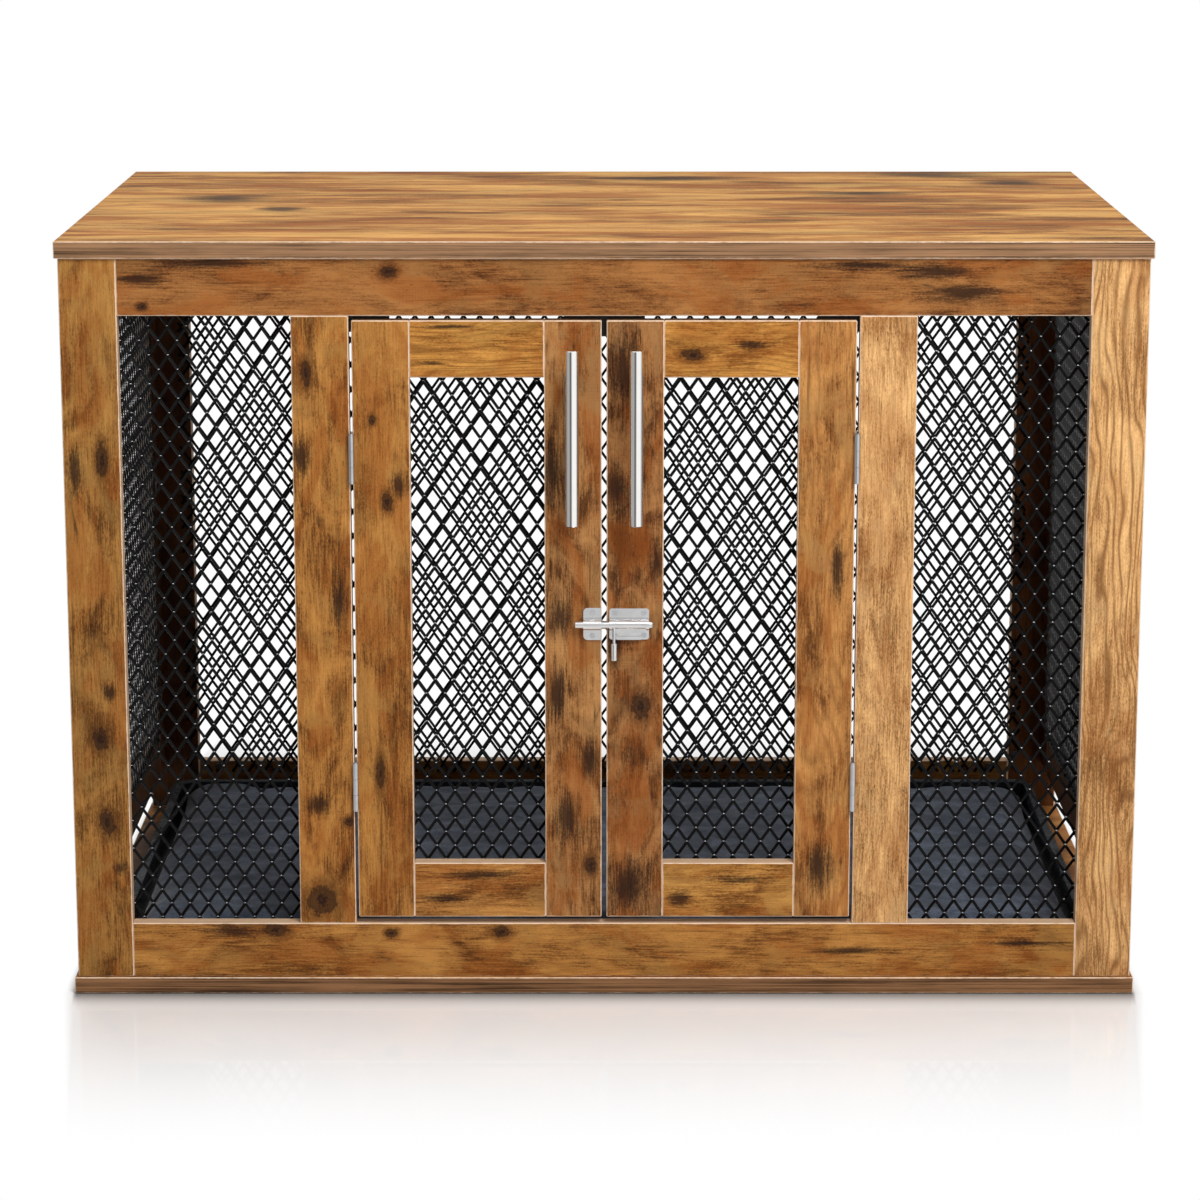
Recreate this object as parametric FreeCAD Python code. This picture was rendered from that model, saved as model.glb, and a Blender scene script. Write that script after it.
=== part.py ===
import FreeCAD, Part
import math
import os

# A dog crate end table: a cabinet of framed boards with black wire-net walls, two swinging
# front doors with bar handles, a sliding bolt, and a plastic tray with a cushion that slides
# out under the right side frame.
# Millimetres, +Z up, front towards -Y, origin at the centre of the base panel's underside.

V = FreeCAD.Vector
ALONG_X, ALONG_Y, ALONG_Z = V(1, 0, 0), V(0, 1, 0), V(0, 0, 1)

# ---------------------------------------------------------------- driving dimensions
# cabinet
frame_width = 945.0            # across the outer faces of the posts
frame_depth = 594.0            # from the front frame's face to the back frame's face
frame_height = 648.0           # posts, from the base panel to the top panel
panel_overhang = 3.0           # top and base panels past the frame, all round
panel_thickness = 15.0
board_width = 50.0             # face width of every post, stile and rail
board_thickness = 15.0
arris = 0.8                    # softened corner on every board
door_opening = 444.0           # between the two front mid stiles
slot_height = 48.0             # open slot for the tray under each side frame

# doors
door_gap_side = 2.6
door_gap_centre = 4.4
door_gap_top = 4.0
door_gap_bottom = 6.0

# wire nets: diamonds, fixed on the inner faces of the frames
net_thickness = 1.2
net_strand = 2.2
net_cell_width = 16.5
net_cell_height = 25.5
net_overlap = 12.0             # net past the edge of its opening
net_most_gaps = 225            # whole cells; the larger panels have wider cells
net_smallest_gap = 0.2         # share of a whole gap that is still cut at an opening's edge

# joinery
dowel_diameter = 6.0
dowel_length = 28.0
dowel_spacing = 25.0
dowel_fit = 0.05
cam_diameter = 15.0
cam_depth = 12.0
cam_from_edge = 24.0
cam_bolt_diameter = 6.0
cam_bolt_reach = 10.0          # bolt into the panel or post that it holds
cam_inset = 80.0               # from the ends of a side frame to its outer cams
top_cam_pitch = 220.0
base_screw_diameter = 4.0
base_screw_length = 45.0
base_screw_head = 8.0
base_rail_screw_x = 150.0      # base screws into the bottom rails, from the middle
screw_fit = 0.05

# small screws
pan_screw_diameter = 3.0
pan_screw_length = 10.0
pan_head_diameter = 7.0
pan_head_height = 2.0
net_screw_pitch = 160.0
net_screw_corner = 20.0        # from a net's corner to its first screw
sunk_screw_diameter = 2.6
sunk_screw_length = 11.0
sunk_head_diameter = 4.6

# hinges
hinge_height = 43.0
hinge_leaf = 1.0               # leaf thickness
hinge_leaf_depth = 13.0
hinge_leaf_setback = 0.4       # leaf's front edge behind the frame's face
hinge_knuckle_radius = 2.6
hinge_face_gap = 0.1           # knuckle in front of the frame's face
hinge_pin_radius = 1.2
hinge_pin_fit = 0.05
hinge_pin_head = 0.8
hinge_knuckle_gap = 0.2
hinge_inset = 121.0            # from a door's end to a hinge's middle
hinge_screw_spacing = 24.0

# door stops
stop_thickness = 3.0
stop_centre_width = 71.0
stop_centre_reach = 16.0       # below the doors' top edge
stop_corner_width = 53.0
stop_corner_reach = 12.0
stop_corner_inside = 35.0      # part of a corner stop inside the door opening
stop_height = 36.0             # part of a stop on the top rail
stop_relief = 0.3              # clear of the closed door
stop_screw_inset = 12.0

# handles
handle_diameter = 12.0
handle_length = 154.0
handle_hole_spacing = 96.0
handle_post_diameter = 9.0
handle_projection = 35.0       # from the door's face to the front of the bar
handle_from_edge = 25.7        # bar's axis from the door's closing edge
handle_below_top = 22.0        # bar's end below the door's top edge
handle_screw_diameter = 4.0
handle_screw_head = 8.0
handle_screw_head_height = 2.2
handle_screw_grip = 8.0        # thread inside a handle post

# sliding bolt
bolt_diameter = 6.8
bolt_tip_reach = 23.6          # bolt past the closing edge of the left door, when shut
bolt_tail = 3.2                # bolt past the far end of its housing
bolt_fit = 0.3
latch_sheet = 1.2
latch_edge_gap = 2.4           # housing from its door's closing edge
keeper_edge_gap = 0.3
housing_length = 35.0
housing_height = 28.0
housing_corner = 2.4
housing_ring = 2.6             # closed ring at each end of the housing
housing_window_top = 2.0       # hood's lower edge above the bolt's axis
housing_lip_length = 21.0
housing_lip_height = 3.0
housing_lip_projection = 1.6
keeper_length = 15.8
keeper_height = 29.0
keeper_corner = 4.0
latch_screw_inset = 4.6
latch_screw_side = 4.0
knob_collar_length = 3.0
knob_collar_wall = 0.75
knob_collar_gap = 0.1
knob_collar_fit = 0.05
knob_stem_diameter = 2.8
knob_stem_reach = 16.6         # from the bolt's axis to the top of the knob
knob_diameter = 5.6
knob_length = 15.8

# tray and cushion
tray_side_gap = 13.5           # tray rim to a side frame's inner face
tray_front_gap = 12.0          # tray rim to the front and back frames
tray_height = 33.0
tray_wall = 2.5
tray_lip = 5.0
tray_lip_thickness = 2.0
tray_corner = 22.0
cushion_gap = 3.0              # cushion to the tray's wall
cushion_lift = 0.3
cushion_thickness = 33.0
cushion_corner = 26.0
# share of the thickness, and how far the outline is drawn in there
cushion_profile = [(0.0, 13.0), (0.14, 4.0), (0.36, 0.0), (0.58, 2.5), (0.72, 8.0),
                   (0.82, 18.0), (0.89, 36.0), (0.95, 70.0), (1.0, 120.0)]

# ---------------------------------------------------------------- derived places
panel_width = frame_width + 2 * panel_overhang
panel_depth = frame_depth + 2 * panel_overhang
frame_bottom = panel_thickness
frame_top = frame_bottom + frame_height
half_width = frame_width / 2
inner_x = half_width - board_thickness            # side frames' inner faces
inner_y = frame_depth / 2 - board_thickness       # front and back frames' inner faces
post_inner = half_width - board_width             # posts' edges beside the openings
door_half = door_opening / 2
opening_bottom = frame_bottom + board_width
opening_top = frame_top - board_width
side_bottom = frame_bottom + slot_height
door_bottom = opening_bottom + door_gap_bottom
door_top = opening_top - door_gap_top
door_middle = (door_bottom + door_top) / 2
door_edge = door_gap_centre / 2                   # closing edge from the centre line
door_outer = door_half - door_gap_side            # hinge edge from the centre line
front_face = -board_thickness                     # in a wall's own frame
mid_thickness = -board_thickness / 2
bolt_radius = bolt_diameter / 2
bolt_y = front_face - latch_sheet - bolt_fit - bolt_radius
housing_start = door_edge + latch_edge_gap
housing_end = housing_start + housing_length
knob_x = housing_start + housing_ring + knob_collar_gap + knob_collar_length / 2
tunnel_radius = bolt_radius + bolt_fit
hood_radius = tunnel_radius + latch_sheet

nodes = {}      # node name: its solids
bores = {}      # node name: what is bored out of its solids


def add(name, shape):
    nodes.setdefault(name, []).append(shape)


def bore(name, tool):
    bores.setdefault(name, []).append(tool)


# ---------------------------------------------------------------- simple solids
def block(x0, x1, y0, y1, z0, z1):
    """A box between three pairs of coordinates, given in any order."""
    low = V(min(x0, x1), min(y0, y1), min(z0, z1))
    return Part.makeBox(abs(x1 - x0), abs(y1 - y0), abs(z1 - z0), low)


def rod(radius, start, direction, length):
    return Part.makeCylinder(radius, length, start, direction)


def soft_block(*bounds):
    """A box with its arrises taken off, as on a sanded board."""
    solid = block(*bounds)
    return solid.makeChamfer(arris, solid.Edges)


def group(shapes):
    return shapes[0] if len(shapes) == 1 else Part.makeCompound(shapes)


def rounded_outline(half_x, half_y, radius, z):
    """A rectangle with quarter-round corners, as a closed wire."""
    edges = []
    corners = [(1, 1, 0), (-1, 1, 90), (-1, -1, 180), (1, -1, 270)]
    arcs = []
    for sign_x, sign_y, turn in corners:
        middle = V(sign_x * (half_x - radius), sign_y * (half_y - radius), z)
        ends = [middle + V(math.cos(a), math.sin(a), 0) * radius
                for a in (math.radians(turn + step) for step in (0, 45, 90))]
        arcs.append(ends)
    for index, ends in enumerate(arcs):
        following = arcs[(index + 1) % len(arcs)]
        edges.append(Part.Arc(*ends).toShape())
        edges.append(Part.LineSegment(ends[2], following[0]).toShape())
    return Part.Wire(edges)


def rounded_prism(half_x, half_y, radius, z0, z1):
    return Part.Face(rounded_outline(half_x, half_y, radius, z0)).extrude(V(0, 0, z1 - z0))


# ---------------------------------------------------------------- walls
class Wall:
    """A wall's own frame: x along the wall, y inwards from the frame's inner face, z up."""

    def __init__(self, turn, distance):
        self.turn = turn
        self.distance = distance

    def put(self, shape):
        placed = shape.copy()
        placed.translate(V(0, -self.distance, 0))
        placed.rotate(V(0, 0, 0), ALONG_Z, self.turn)
        return placed


front = Wall(0, inner_y)
right = Wall(90, inner_x)
back = Wall(180, inner_y)
left = Wall(270, inner_x)


def board(wall, name, x0, x1, z0, z1):
    add(name, wall.put(soft_block(x0, x1, front_face, 0, z0, z1)))


def dowels(wall, group_name, joint, direction, board_a, board_b):
    """Two dowels across a joint; joint is the middle of the two boards' common face."""
    across = ALONG_Z if direction == ALONG_X else ALONG_X
    for side in (-1, 1):
        middle = V(joint[0], mid_thickness, joint[1]) + across * (side * dowel_spacing / 2)
        start = middle - direction * (dowel_length / 2)
        add(group_name, wall.put(rod(dowel_diameter / 2, start, direction, dowel_length)))
        hole_length = dowel_length + 2
        hole_start = middle - direction * (hole_length / 2)
        hole = rod(dowel_diameter / 2 + dowel_fit, hole_start, direction, hole_length)
        for name in (board_a, board_b):
            bore(name, wall.put(hole))


def rail_between(wall, group_name, rail, left_board, right_board, x0, x1, z_middle):
    """Dowels at both ends of a rail that lies between two uprights."""
    dowels(wall, group_name, (x0, z_middle), ALONG_X, left_board, rail)
    dowels(wall, group_name, (x1, z_middle), ALONG_X, rail, right_board)


def pan_screw(wall, screws, x, z, seat, boards, length=pan_screw_length):
    """A pan-head screw into a wall's inner face; its head sits at y = seat."""
    radius = pan_screw_diameter / 2
    head = rod(pan_head_diameter / 2, V(x, seat, z), ALONG_Y, pan_head_height)
    head = head.makeFillet(pan_head_height * 0.45, [top_edge(head, ALONG_Y)])
    shank = rod(radius, V(x, seat - length, z), ALONG_Y, length)
    add(screws, wall.put(head.fuse(shank)))
    for name in boards:
        bore(name, wall.put(rod(radius + screw_fit, V(x, seat - length - 1, z), ALONG_Y, length + 1)))


def top_edge(solid, direction):
    """The round edge furthest along a direction."""
    return max(solid.Edges, key=lambda e: e.CenterOfMass.dot(direction) + (0.001 * e.Length))


def sunk_screw(point, direction, extra=0.0):
    """A countersunk screw with its flat head at point, driven along direction."""
    head = sunk_head_diameter / 2 + extra
    shank = sunk_screw_diameter / 2 + extra
    cone_depth = (sunk_head_diameter - sunk_screw_diameter) / 2
    cone = Part.makeCone(head, shank, cone_depth, point, direction)
    return cone.fuse(rod(shank, point, direction, sunk_screw_length + extra))


def sunk_screws(wall, screws, points, direction, holds):
    for point in points:
        add(screws, wall.put(sunk_screw(point, direction)))
        for name in holds:
            bore(name, wall.put(sunk_screw(point, direction, screw_fit)))


# ---------------------------------------------------------------- nets
def spread(length, pitch, margin):
    """Evenly spaced places on a length, about a pitch apart, measured from its middle."""
    count = max(2, round((length - 2 * margin) / pitch) + 1)
    step = (length - 2 * margin) / (count - 1)
    return [-length / 2 + margin + step * index for index in range(count)]


def diamond_gaps(centre, width, height):
    """The diamond gaps of a net in its opening, those at the opening's edge cut off by it."""
    cell_area = net_cell_width * net_cell_height / 2
    scale = max(1.0, math.sqrt(width * height / (cell_area * net_most_gaps)))
    cell_w, cell_h = net_cell_width * scale, net_cell_height * scale
    lean = math.hypot(cell_w, cell_h)
    half_w = cell_w / 2 - net_strand / 2 * lean / cell_h
    half_h = cell_h / 2 - net_strand / 2 * lean / cell_w
    rows, columns = int(height / cell_h), int(width / (2 * cell_w)) + 1
    diamonds = []
    for row in range(-rows, rows + 1):
        z = row * cell_h / 2
        shift = cell_w / 2 if row % 2 else 0.0
        for column in range(-columns, columns + 1):
            x = column * cell_w + shift
            if abs(x) < width / 2:
                diamonds.append(flat_face(centre, [(x - half_w, z), (x, z + half_h),
                                                   (x + half_w, z), (x, z - half_h)]))
    opening = flat_face(centre, rectangle(width / 2, height / 2))
    whole = 2 * half_w * half_h
    return [gap for gap in opening.common(diamonds).Faces if gap.Area > net_smallest_gap * whole]


def rectangle(half_w, half_h):
    return [(-half_w, -half_h), (half_w, -half_h), (half_w, half_h), (-half_w, half_h)]


def flat_face(centre, points):
    """A face in a wall's plane, from points measured from its centre."""
    return Part.Face(Part.makePolygon([centre + V(x, 0, z) for x, z in points + points[:1]]))


def net(wall, name, screws, x0, x1, z0, z1, boards):
    """A net behind an opening; boards are its left, right, top and bottom neighbours."""
    middle_x, middle_z = (x0 + x1) / 2, (z0 + z1) / 2
    width, height = x1 - x0, z1 - z0
    half_w, half_h = width / 2 + net_overlap, height / 2 + net_overlap
    centre = V(middle_x, 0, middle_z)
    sheet = flat_face(centre, rectangle(half_w, half_h))
    gaps = diamond_gaps(centre, width, height)
    print(name, "gaps", len(gaps))

    inset = net_overlap / 2
    left_board, right_board, top_board, bottom_board = boards
    fixings = []
    for z in spread(2 * half_h, net_screw_pitch, net_screw_corner):
        fixings.append((-half_w + inset, z, left_board))
        fixings.append((half_w - inset, z, right_board))
    for x in spread(2 * half_w, net_screw_pitch, net_screw_corner + net_overlap):
        fixings.append((x, half_h - inset, top_board))
        fixings.append((x, -half_h + inset, bottom_board))
    for x, z, board_name in fixings:
        ring = Part.Circle(centre + V(x, 0, z), ALONG_Y, pan_screw_diameter / 2 + screw_fit)
        gaps.append(Part.Face(Part.Wire(ring.toShape())))
        pan_screw(wall, screws, middle_x + x, middle_z + z, net_thickness, [board_name])
    add(name, wall.put(sheet.cut(gaps).extrude(V(0, net_thickness, 0))))


# ---------------------------------------------------------------- frames
def front_frame():
    screws = "frame_small_screws"
    rails = {"front_top_rail": (opening_top, frame_top),
             "front_bottom_rail": (frame_bottom, opening_bottom)}
    for side, sign in (("left", -1), ("right", 1)):
        x0, x1 = sorted((sign * post_inner, sign * half_width))
        board(front, f"front_{side}_post", x0, x1, frame_bottom, frame_top)
        x0, x1 = sorted((sign * door_half, sign * (door_half + board_width)))
        board(front, f"front_{side}_mid_stile", x0, x1, opening_bottom, opening_top)
        stile_x = (x0 + x1) / 2
        for rail, joint_z in (("front_top_rail", opening_top), ("front_bottom_rail", opening_bottom)):
            dowels(front, "frame_dowels", (stile_x, joint_z), ALONG_Z, f"front_{side}_mid_stile", rail)
    for rail, (z0, z1) in rails.items():
        board(front, rail, -post_inner, post_inner, z0, z1)
        rail_between(front, "frame_dowels", rail, "front_left_post", "front_right_post",
                     -post_inner, post_inner, (z0 + z1) / 2)
    stile_outer = door_half + board_width
    net(front, "front_left_net", screws, -post_inner, -stile_outer, opening_bottom, opening_top,
        ("front_left_post", "front_left_mid_stile", "front_top_rail", "front_bottom_rail"))
    net(front, "front_right_net", screws, stile_outer, post_inner, opening_bottom, opening_top,
        ("front_right_mid_stile", "front_right_post", "front_top_rail", "front_bottom_rail"))


def back_frame():
    # seen from inside, the wall's own x runs towards the left side of the table
    for side, sign in (("left", 1), ("right", -1)):
        x0, x1 = sorted((sign * post_inner, sign * half_width))
        board(back, f"back_{side}_post", x0, x1, frame_bottom, frame_top)
    for rail, z0, z1 in (("back_top_rail", opening_top, frame_top),
                         ("back_bottom_rail", frame_bottom, opening_bottom)):
        board(back, rail, -post_inner, post_inner, z0, z1)
        rail_between(back, "frame_dowels", rail, "back_right_post", "back_left_post",
                     -post_inner, post_inner, (z0 + z1) / 2)
    net(back, "back_net", "frame_small_screws", -post_inner, post_inner, opening_bottom, opening_top,
        ("back_right_post", "back_left_post", "back_top_rail", "back_bottom_rail"))


def side_frame(wall, side, front_sign):
    """A side frame between the front and back frames, open below for the tray."""
    stiles = {"front": front_sign, "back": -front_sign}
    opening_y = inner_y - board_width
    lower_top = side_bottom + board_width
    for end, sign in stiles.items():
        stile = f"{side}_side_{end}_stile"
        x0, x1 = sorted((sign * opening_y, sign * inner_y))
        board(wall, stile, x0, x1, side_bottom, frame_top)
        heights = (side_bottom + cam_inset, (side_bottom + frame_top) / 2, frame_top - cam_inset)
        for z in heights:
            cam_joint(wall, V(sign * (inner_y - cam_from_edge), 0, z), V(sign, 0, 0),
                      stile, f"{end}_{side}_post")
    by_sign = {sign: f"{side}_side_{end}_stile" for end, sign in stiles.items()}
    for rail, z0, z1 in ((f"{side}_side_top_rail", opening_top, frame_top),
                         (f"{side}_side_lower_rail", side_bottom, lower_top)):
        board(wall, rail, -opening_y, opening_y, z0, z1)
        rail_between(wall, "frame_dowels", rail, by_sign[-1], by_sign[1],
                     -opening_y, opening_y, (z0 + z1) / 2)
    net(wall, f"{side}_side_net", "frame_small_screws", -opening_y, opening_y, lower_top, opening_top,
        (by_sign[-1], by_sign[1], f"{side}_side_top_rail", f"{side}_side_lower_rail"))


def cam_joint(wall, centre, direction, cam_board, held):
    """A cam lock in a board's inner face, and its bolt into the panel or post it holds."""
    radius = cam_diameter / 2
    cam = rod(radius, V(centre.x, -cam_depth, centre.z), ALONG_Y, cam_depth)
    slot_half, slot_width = radius * 0.62, 1.6
    for turn in (0, 90):
        slot = block(centre.x - slot_half, centre.x + slot_half, -1.2, 0,
                     centre.z - slot_width / 2, centre.z + slot_width / 2)
        slot.rotate(V(centre.x, 0, centre.z), ALONG_Y, turn)
        cam = cam.cut(slot)
    add("cam_fittings", wall.put(cam))
    bore(cam_board, wall.put(rod(radius + screw_fit, V(centre.x, -cam_depth, centre.z), ALONG_Y, cam_depth)))
    start = V(centre.x, mid_thickness, centre.z) + direction * radius
    length = cam_from_edge - radius + cam_bolt_reach
    add("cam_fittings", wall.put(rod(cam_bolt_diameter / 2, start, direction, length)))
    hole = rod(cam_bolt_diameter / 2 + screw_fit, start, direction, length + 0.5)
    for name in (cam_board, held):
        bore(name, wall.put(hole))


def panels():
    half_w, half_d = panel_width / 2, panel_depth / 2
    add("base_panel", soft_block(-half_w, half_w, -half_d, half_d, 0, frame_bottom))
    add("top_panel", soft_block(-half_w, half_w, -half_d, half_d, frame_top, frame_top + panel_thickness))
    for wall, name in ((front, "front"), (back, "back")):
        for step in (-1.5, -0.5, 0.5, 1.5):
            cam_joint(wall, V(step * top_cam_pitch, 0, frame_top - cam_from_edge), ALONG_Z,
                      f"{name}_top_rail", "top_panel")
        post_x = half_width - board_width / 2
        for x in (-post_x, -base_rail_screw_x, base_rail_screw_x, post_x):
            if abs(x) < post_inner:
                held = f"{name}_bottom_rail"
            else:
                beside = "left" if (x < 0) == (wall is front) else "right"
                held = f"{name}_{beside}_post"
            base_screw(wall, x, held)


def base_screw(wall, x, held):
    """A countersunk screw up through the base panel into the foot of a frame."""
    for extra in (0.0, screw_fit):
        shank = base_screw_diameter / 2 + extra
        head = base_screw_head / 2 + extra
        foot = V(x, mid_thickness, 0)
        cone = Part.makeCone(head, shank, (base_screw_head - base_screw_diameter) / 2, foot, ALONG_Z)
        shape = wall.put(cone.fuse(rod(shank, foot, ALONG_Z, base_screw_length + extra)))
        if extra:
            bore("base_panel", shape)
            bore(held, shape)
        else:
            add("base_screws", shape)


def door_stops():
    """Black plates on the back of the top rail, which the closed doors lie against."""
    screws = "frame_small_screws"
    plates = [(-stop_centre_width / 2, stop_centre_width / 2, stop_centre_reach)]
    inside = door_half - stop_corner_inside
    for sign in (-1, 1):
        x0, x1 = sorted((sign * inside, sign * (inside + stop_corner_width)))
        plates.append((x0, x1, stop_corner_reach))
    for x0, x1, reach in plates:
        plate = soft_plate(x0, x1, 0, stop_thickness, door_top - reach, opening_top + stop_height)
        relief = block(x0 - 1, x1 + 1, -1, stop_relief, door_top - reach - 1, opening_top)
        add("door_stops", front.put(plate.cut(relief)))
        for x in (x0 + stop_screw_inset, x1 - stop_screw_inset):
            z = opening_top + stop_height / 2
            pan_screw(front, screws, x, z, stop_thickness, ["door_stops", "front_top_rail"])


def soft_plate(x0, x1, y0, y1, z0, z1):
    """A flat plate with rounded corners, lying in a wall's plane."""
    solid = block(x0, x1, y0, y1, z0, z1)
    upright = [e for e in solid.Edges if abs(e.tangentAt(e.FirstParameter).y) > 0.9]
    return solid.makeFillet(2.5, upright)


# ---------------------------------------------------------------- doors
def door(side, sign):
    """A framed net door; sign is +1 for the right door and -1 for the left door."""
    prefix = f"{side}_door"
    dowel_node = f"{prefix}_dowels"
    lock_inner = door_edge + board_width
    hinge_inner = door_outer - board_width
    places = {f"{prefix}_lock_stile": (door_edge, lock_inner),
              f"{prefix}_hinge_stile": (hinge_inner, door_outer)}
    for name, (a, b) in places.items():
        x0, x1 = sorted((sign * a, sign * b))
        board(front, name, x0, x1, door_bottom, door_top)
    x0, x1 = sorted((sign * lock_inner, sign * hinge_inner))
    left_stile, right_stile = sorted(places, key=lambda n: sign * places[n][0])
    top_rail, bottom_rail = f"{prefix}_top_rail", f"{prefix}_bottom_rail"
    for name, z0, z1 in ((top_rail, door_top - board_width, door_top),
                         (bottom_rail, door_bottom, door_bottom + board_width)):
        board(front, name, x0, x1, z0, z1)
        rail_between(front, dowel_node, name, left_stile, right_stile, x0, x1, (z0 + z1) / 2)
    net(front, f"{prefix}_net", f"{prefix}_net_screws", x0, x1,
        door_bottom + board_width, door_top - board_width, (left_stile, right_stile, top_rail, bottom_rail))
    for z in (door_bottom + hinge_inset, door_top - hinge_inset):
        hinge(side, sign, z)
    handle(side, sign)


def hinge(side, sign, z):
    """A butt hinge in the gap beside a door, its knuckle just in front of the frame."""
    axis_x = sign * (door_half - door_gap_side / 2)
    axis_y = front_face - hinge_face_gap - hinge_knuckle_radius
    leaf_front = front_face + hinge_leaf_setback
    third = hinge_height / 3
    low = z - hinge_height / 2
    frame_leaf = (sign * (door_half - hinge_leaf), sign * door_half)
    door_leaf = (sign * door_outer, sign * (door_outer + hinge_leaf))
    for leaf, node, thirds in ((frame_leaf, "hinge_frame_leaves", (0, 2)),
                               (door_leaf, f"{side}_door_hinge_leaves", (1,))):
        solid = block(*leaf, leaf_front, leaf_front + hinge_leaf_depth, low, low + hinge_height)
        for index in thirds:
            z0 = low + index * third + hinge_knuckle_gap / 2
            length = third - hinge_knuckle_gap
            knuckle = rod(hinge_knuckle_radius, V(axis_x, axis_y, z0), ALONG_Z, length)
            tongue = block(*leaf, axis_y, leaf_front, z0, z0 + length)
            solid = solid.fuse([knuckle, tongue])
        hole = rod(hinge_pin_radius + hinge_pin_fit, V(axis_x, axis_y, low - 1), ALONG_Z, hinge_height + 2)
        add(node, front.put(solid.cut(hole).removeSplitter()))
    pin = rod(hinge_pin_radius, V(axis_x, axis_y, low), ALONG_Z, hinge_height)
    heads = [rod(hinge_knuckle_radius * 0.8, V(axis_x, axis_y, z0), ALONG_Z, hinge_pin_head)
             for z0 in (low - hinge_pin_head, low + hinge_height)]
    add("hinge_pins", front.put(pin.fuse(heads)))

    screw_y = leaf_front + hinge_leaf_depth / 2
    heights = (z - hinge_screw_spacing / 2, z + hinge_screw_spacing / 2)
    outward, inward = V(sign, 0, 0), V(-sign, 0, 0)
    frame_points = [V(frame_leaf[0], screw_y, height) for height in heights]
    sunk_screws(front, "frame_small_screws", frame_points, outward,
                ("hinge_frame_leaves", f"front_{side}_mid_stile"))
    door_points = [V(door_leaf[1], screw_y, height) for height in heights]
    sunk_screws(front, f"{side}_door_sunk_screws", door_points, inward,
                (f"{side}_door_hinge_leaves", f"{side}_door_hinge_stile"))


def handle(side, sign):
    """A round bar on two posts, with a screw into each post from the back of the door."""
    name = f"{side}_door_handle"
    stile = f"{side}_door_lock_stile"
    radius = handle_diameter / 2
    x = sign * (door_edge + handle_from_edge)
    bar_y = front_face - handle_projection + radius
    bar_top = door_top - handle_below_top
    bar = rod(radius, V(x, bar_y, bar_top - handle_length), ALONG_Z, handle_length)
    rims = [e for e in bar.Edges if e.Closed and e.Length > radius]
    add(name, front.put(bar.makeChamfer(0.6, rims)))
    for step in (-1, 1):
        z = bar_top - handle_length / 2 + step * handle_hole_spacing / 2
        post = rod(handle_post_diameter / 2, V(x, front_face, z), V(0, -1, 0), front_face - bar_y)
        add(name, front.put(post.cut(bar)))
        length = board_thickness + handle_screw_grip
        screw_radius = handle_screw_diameter / 2
        shank = rod(screw_radius, V(x, -length, z), ALONG_Y, length)
        head = rod(handle_screw_head / 2, V(x, 0, z), ALONG_Y, handle_screw_head_height)
        head = head.makeFillet(handle_screw_head_height * 0.45, [top_edge(head, ALONG_Y)])
        add(f"{side}_door_handle_screws", front.put(shank.fuse(head)))
        hole = rod(screw_radius + screw_fit, V(x, -length - 0.5, z), ALONG_Y, length + 0.5)
        for drilled in (name, stile):
            bore(drilled, front.put(hole))


# ---------------------------------------------------------------- sliding bolt
def hooded_plate(x0, x1, height, corner, rounded_ends):
    """A sheet plate with a half-round hood over the bolt, open at both ends; some ends have round corners."""
    z0, z1 = door_middle - height / 2, door_middle + height / 2
    plate = block(x0, x1, front_face, front_face - latch_sheet, z0, z1)
    corners = [e for e in plate.Edges if abs(e.tangentAt(e.FirstParameter).y) > 0.9
               and any(abs(e.CenterOfMass.x - end) < 0.01 for end in rounded_ends)]
    plate = plate.makeFillet(corner, corners)
    length = x1 - x0
    axis_start = V(x0, bolt_y, door_middle)
    hood = rod(hood_radius, axis_start, ALONG_X, length)
    hood = hood.fuse(block(x0, x1, bolt_y, front_face - latch_sheet / 2,
                           door_middle - hood_radius, door_middle + hood_radius))
    below_face = block(x0 - 1, x1 + 1, front_face, front_face + hood_radius * 2, z0, z1)
    hood = hood.cut(below_face)
    tunnel = rod(tunnel_radius, axis_start - ALONG_X, ALONG_X, length + 2)
    tunnel = tunnel.fuse(block(x0 - 1, x1 + 1, bolt_y, front_face - latch_sheet,
                               door_middle - tunnel_radius, door_middle + tunnel_radius))
    return plate.fuse(hood).cut(tunnel)


def latch():
    housing = hooded_plate(housing_start, housing_end, housing_height, housing_corner,
                           (housing_start, housing_end))
    window = block(housing_start + housing_ring, housing_end - housing_ring,
                   front_face - latch_sheet, bolt_y - hood_radius - 1,
                   door_middle - housing_height, door_middle + housing_window_top)
    housing = housing.cut(window)
    foot = door_middle - housing_height / 2
    lip_middle = (housing_start + housing_end) / 2
    lip = block(lip_middle - housing_lip_length / 2, lip_middle + housing_lip_length / 2,
                front_face - latch_sheet / 2, front_face - latch_sheet - housing_lip_projection,
                foot, foot + housing_lip_height)
    add("bolt_housing", front.put(housing.fuse(lip).removeSplitter()))
    keeper_end = -door_edge - keeper_edge_gap
    keeper_start = keeper_end - keeper_length
    keeper = hooded_plate(keeper_start, keeper_end, keeper_height, keeper_corner, (keeper_start,))
    add("bolt_keeper", front.put(keeper.removeSplitter()))

    face = front_face - latch_sheet
    rise = housing_height / 2 - latch_screw_side
    housing_points = [V(x, face, door_middle + step * rise) for step in (-1, 1)
                      for x in (housing_start + latch_screw_inset, housing_end - latch_screw_inset)]
    sunk_screws(front, "right_door_sunk_screws", housing_points, ALONG_Y,
                ("bolt_housing", "right_door_lock_stile"))
    rise = keeper_height / 2 - latch_screw_side
    keeper_x = (keeper_start + keeper_end) / 2
    keeper_points = [V(keeper_x, face, door_middle + step * rise) for step in (-1, 1)]
    sunk_screws(front, "left_door_sunk_screws", keeper_points, ALONG_Y,
                ("bolt_keeper", "left_door_lock_stile"))
    bolt_and_knob()


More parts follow.
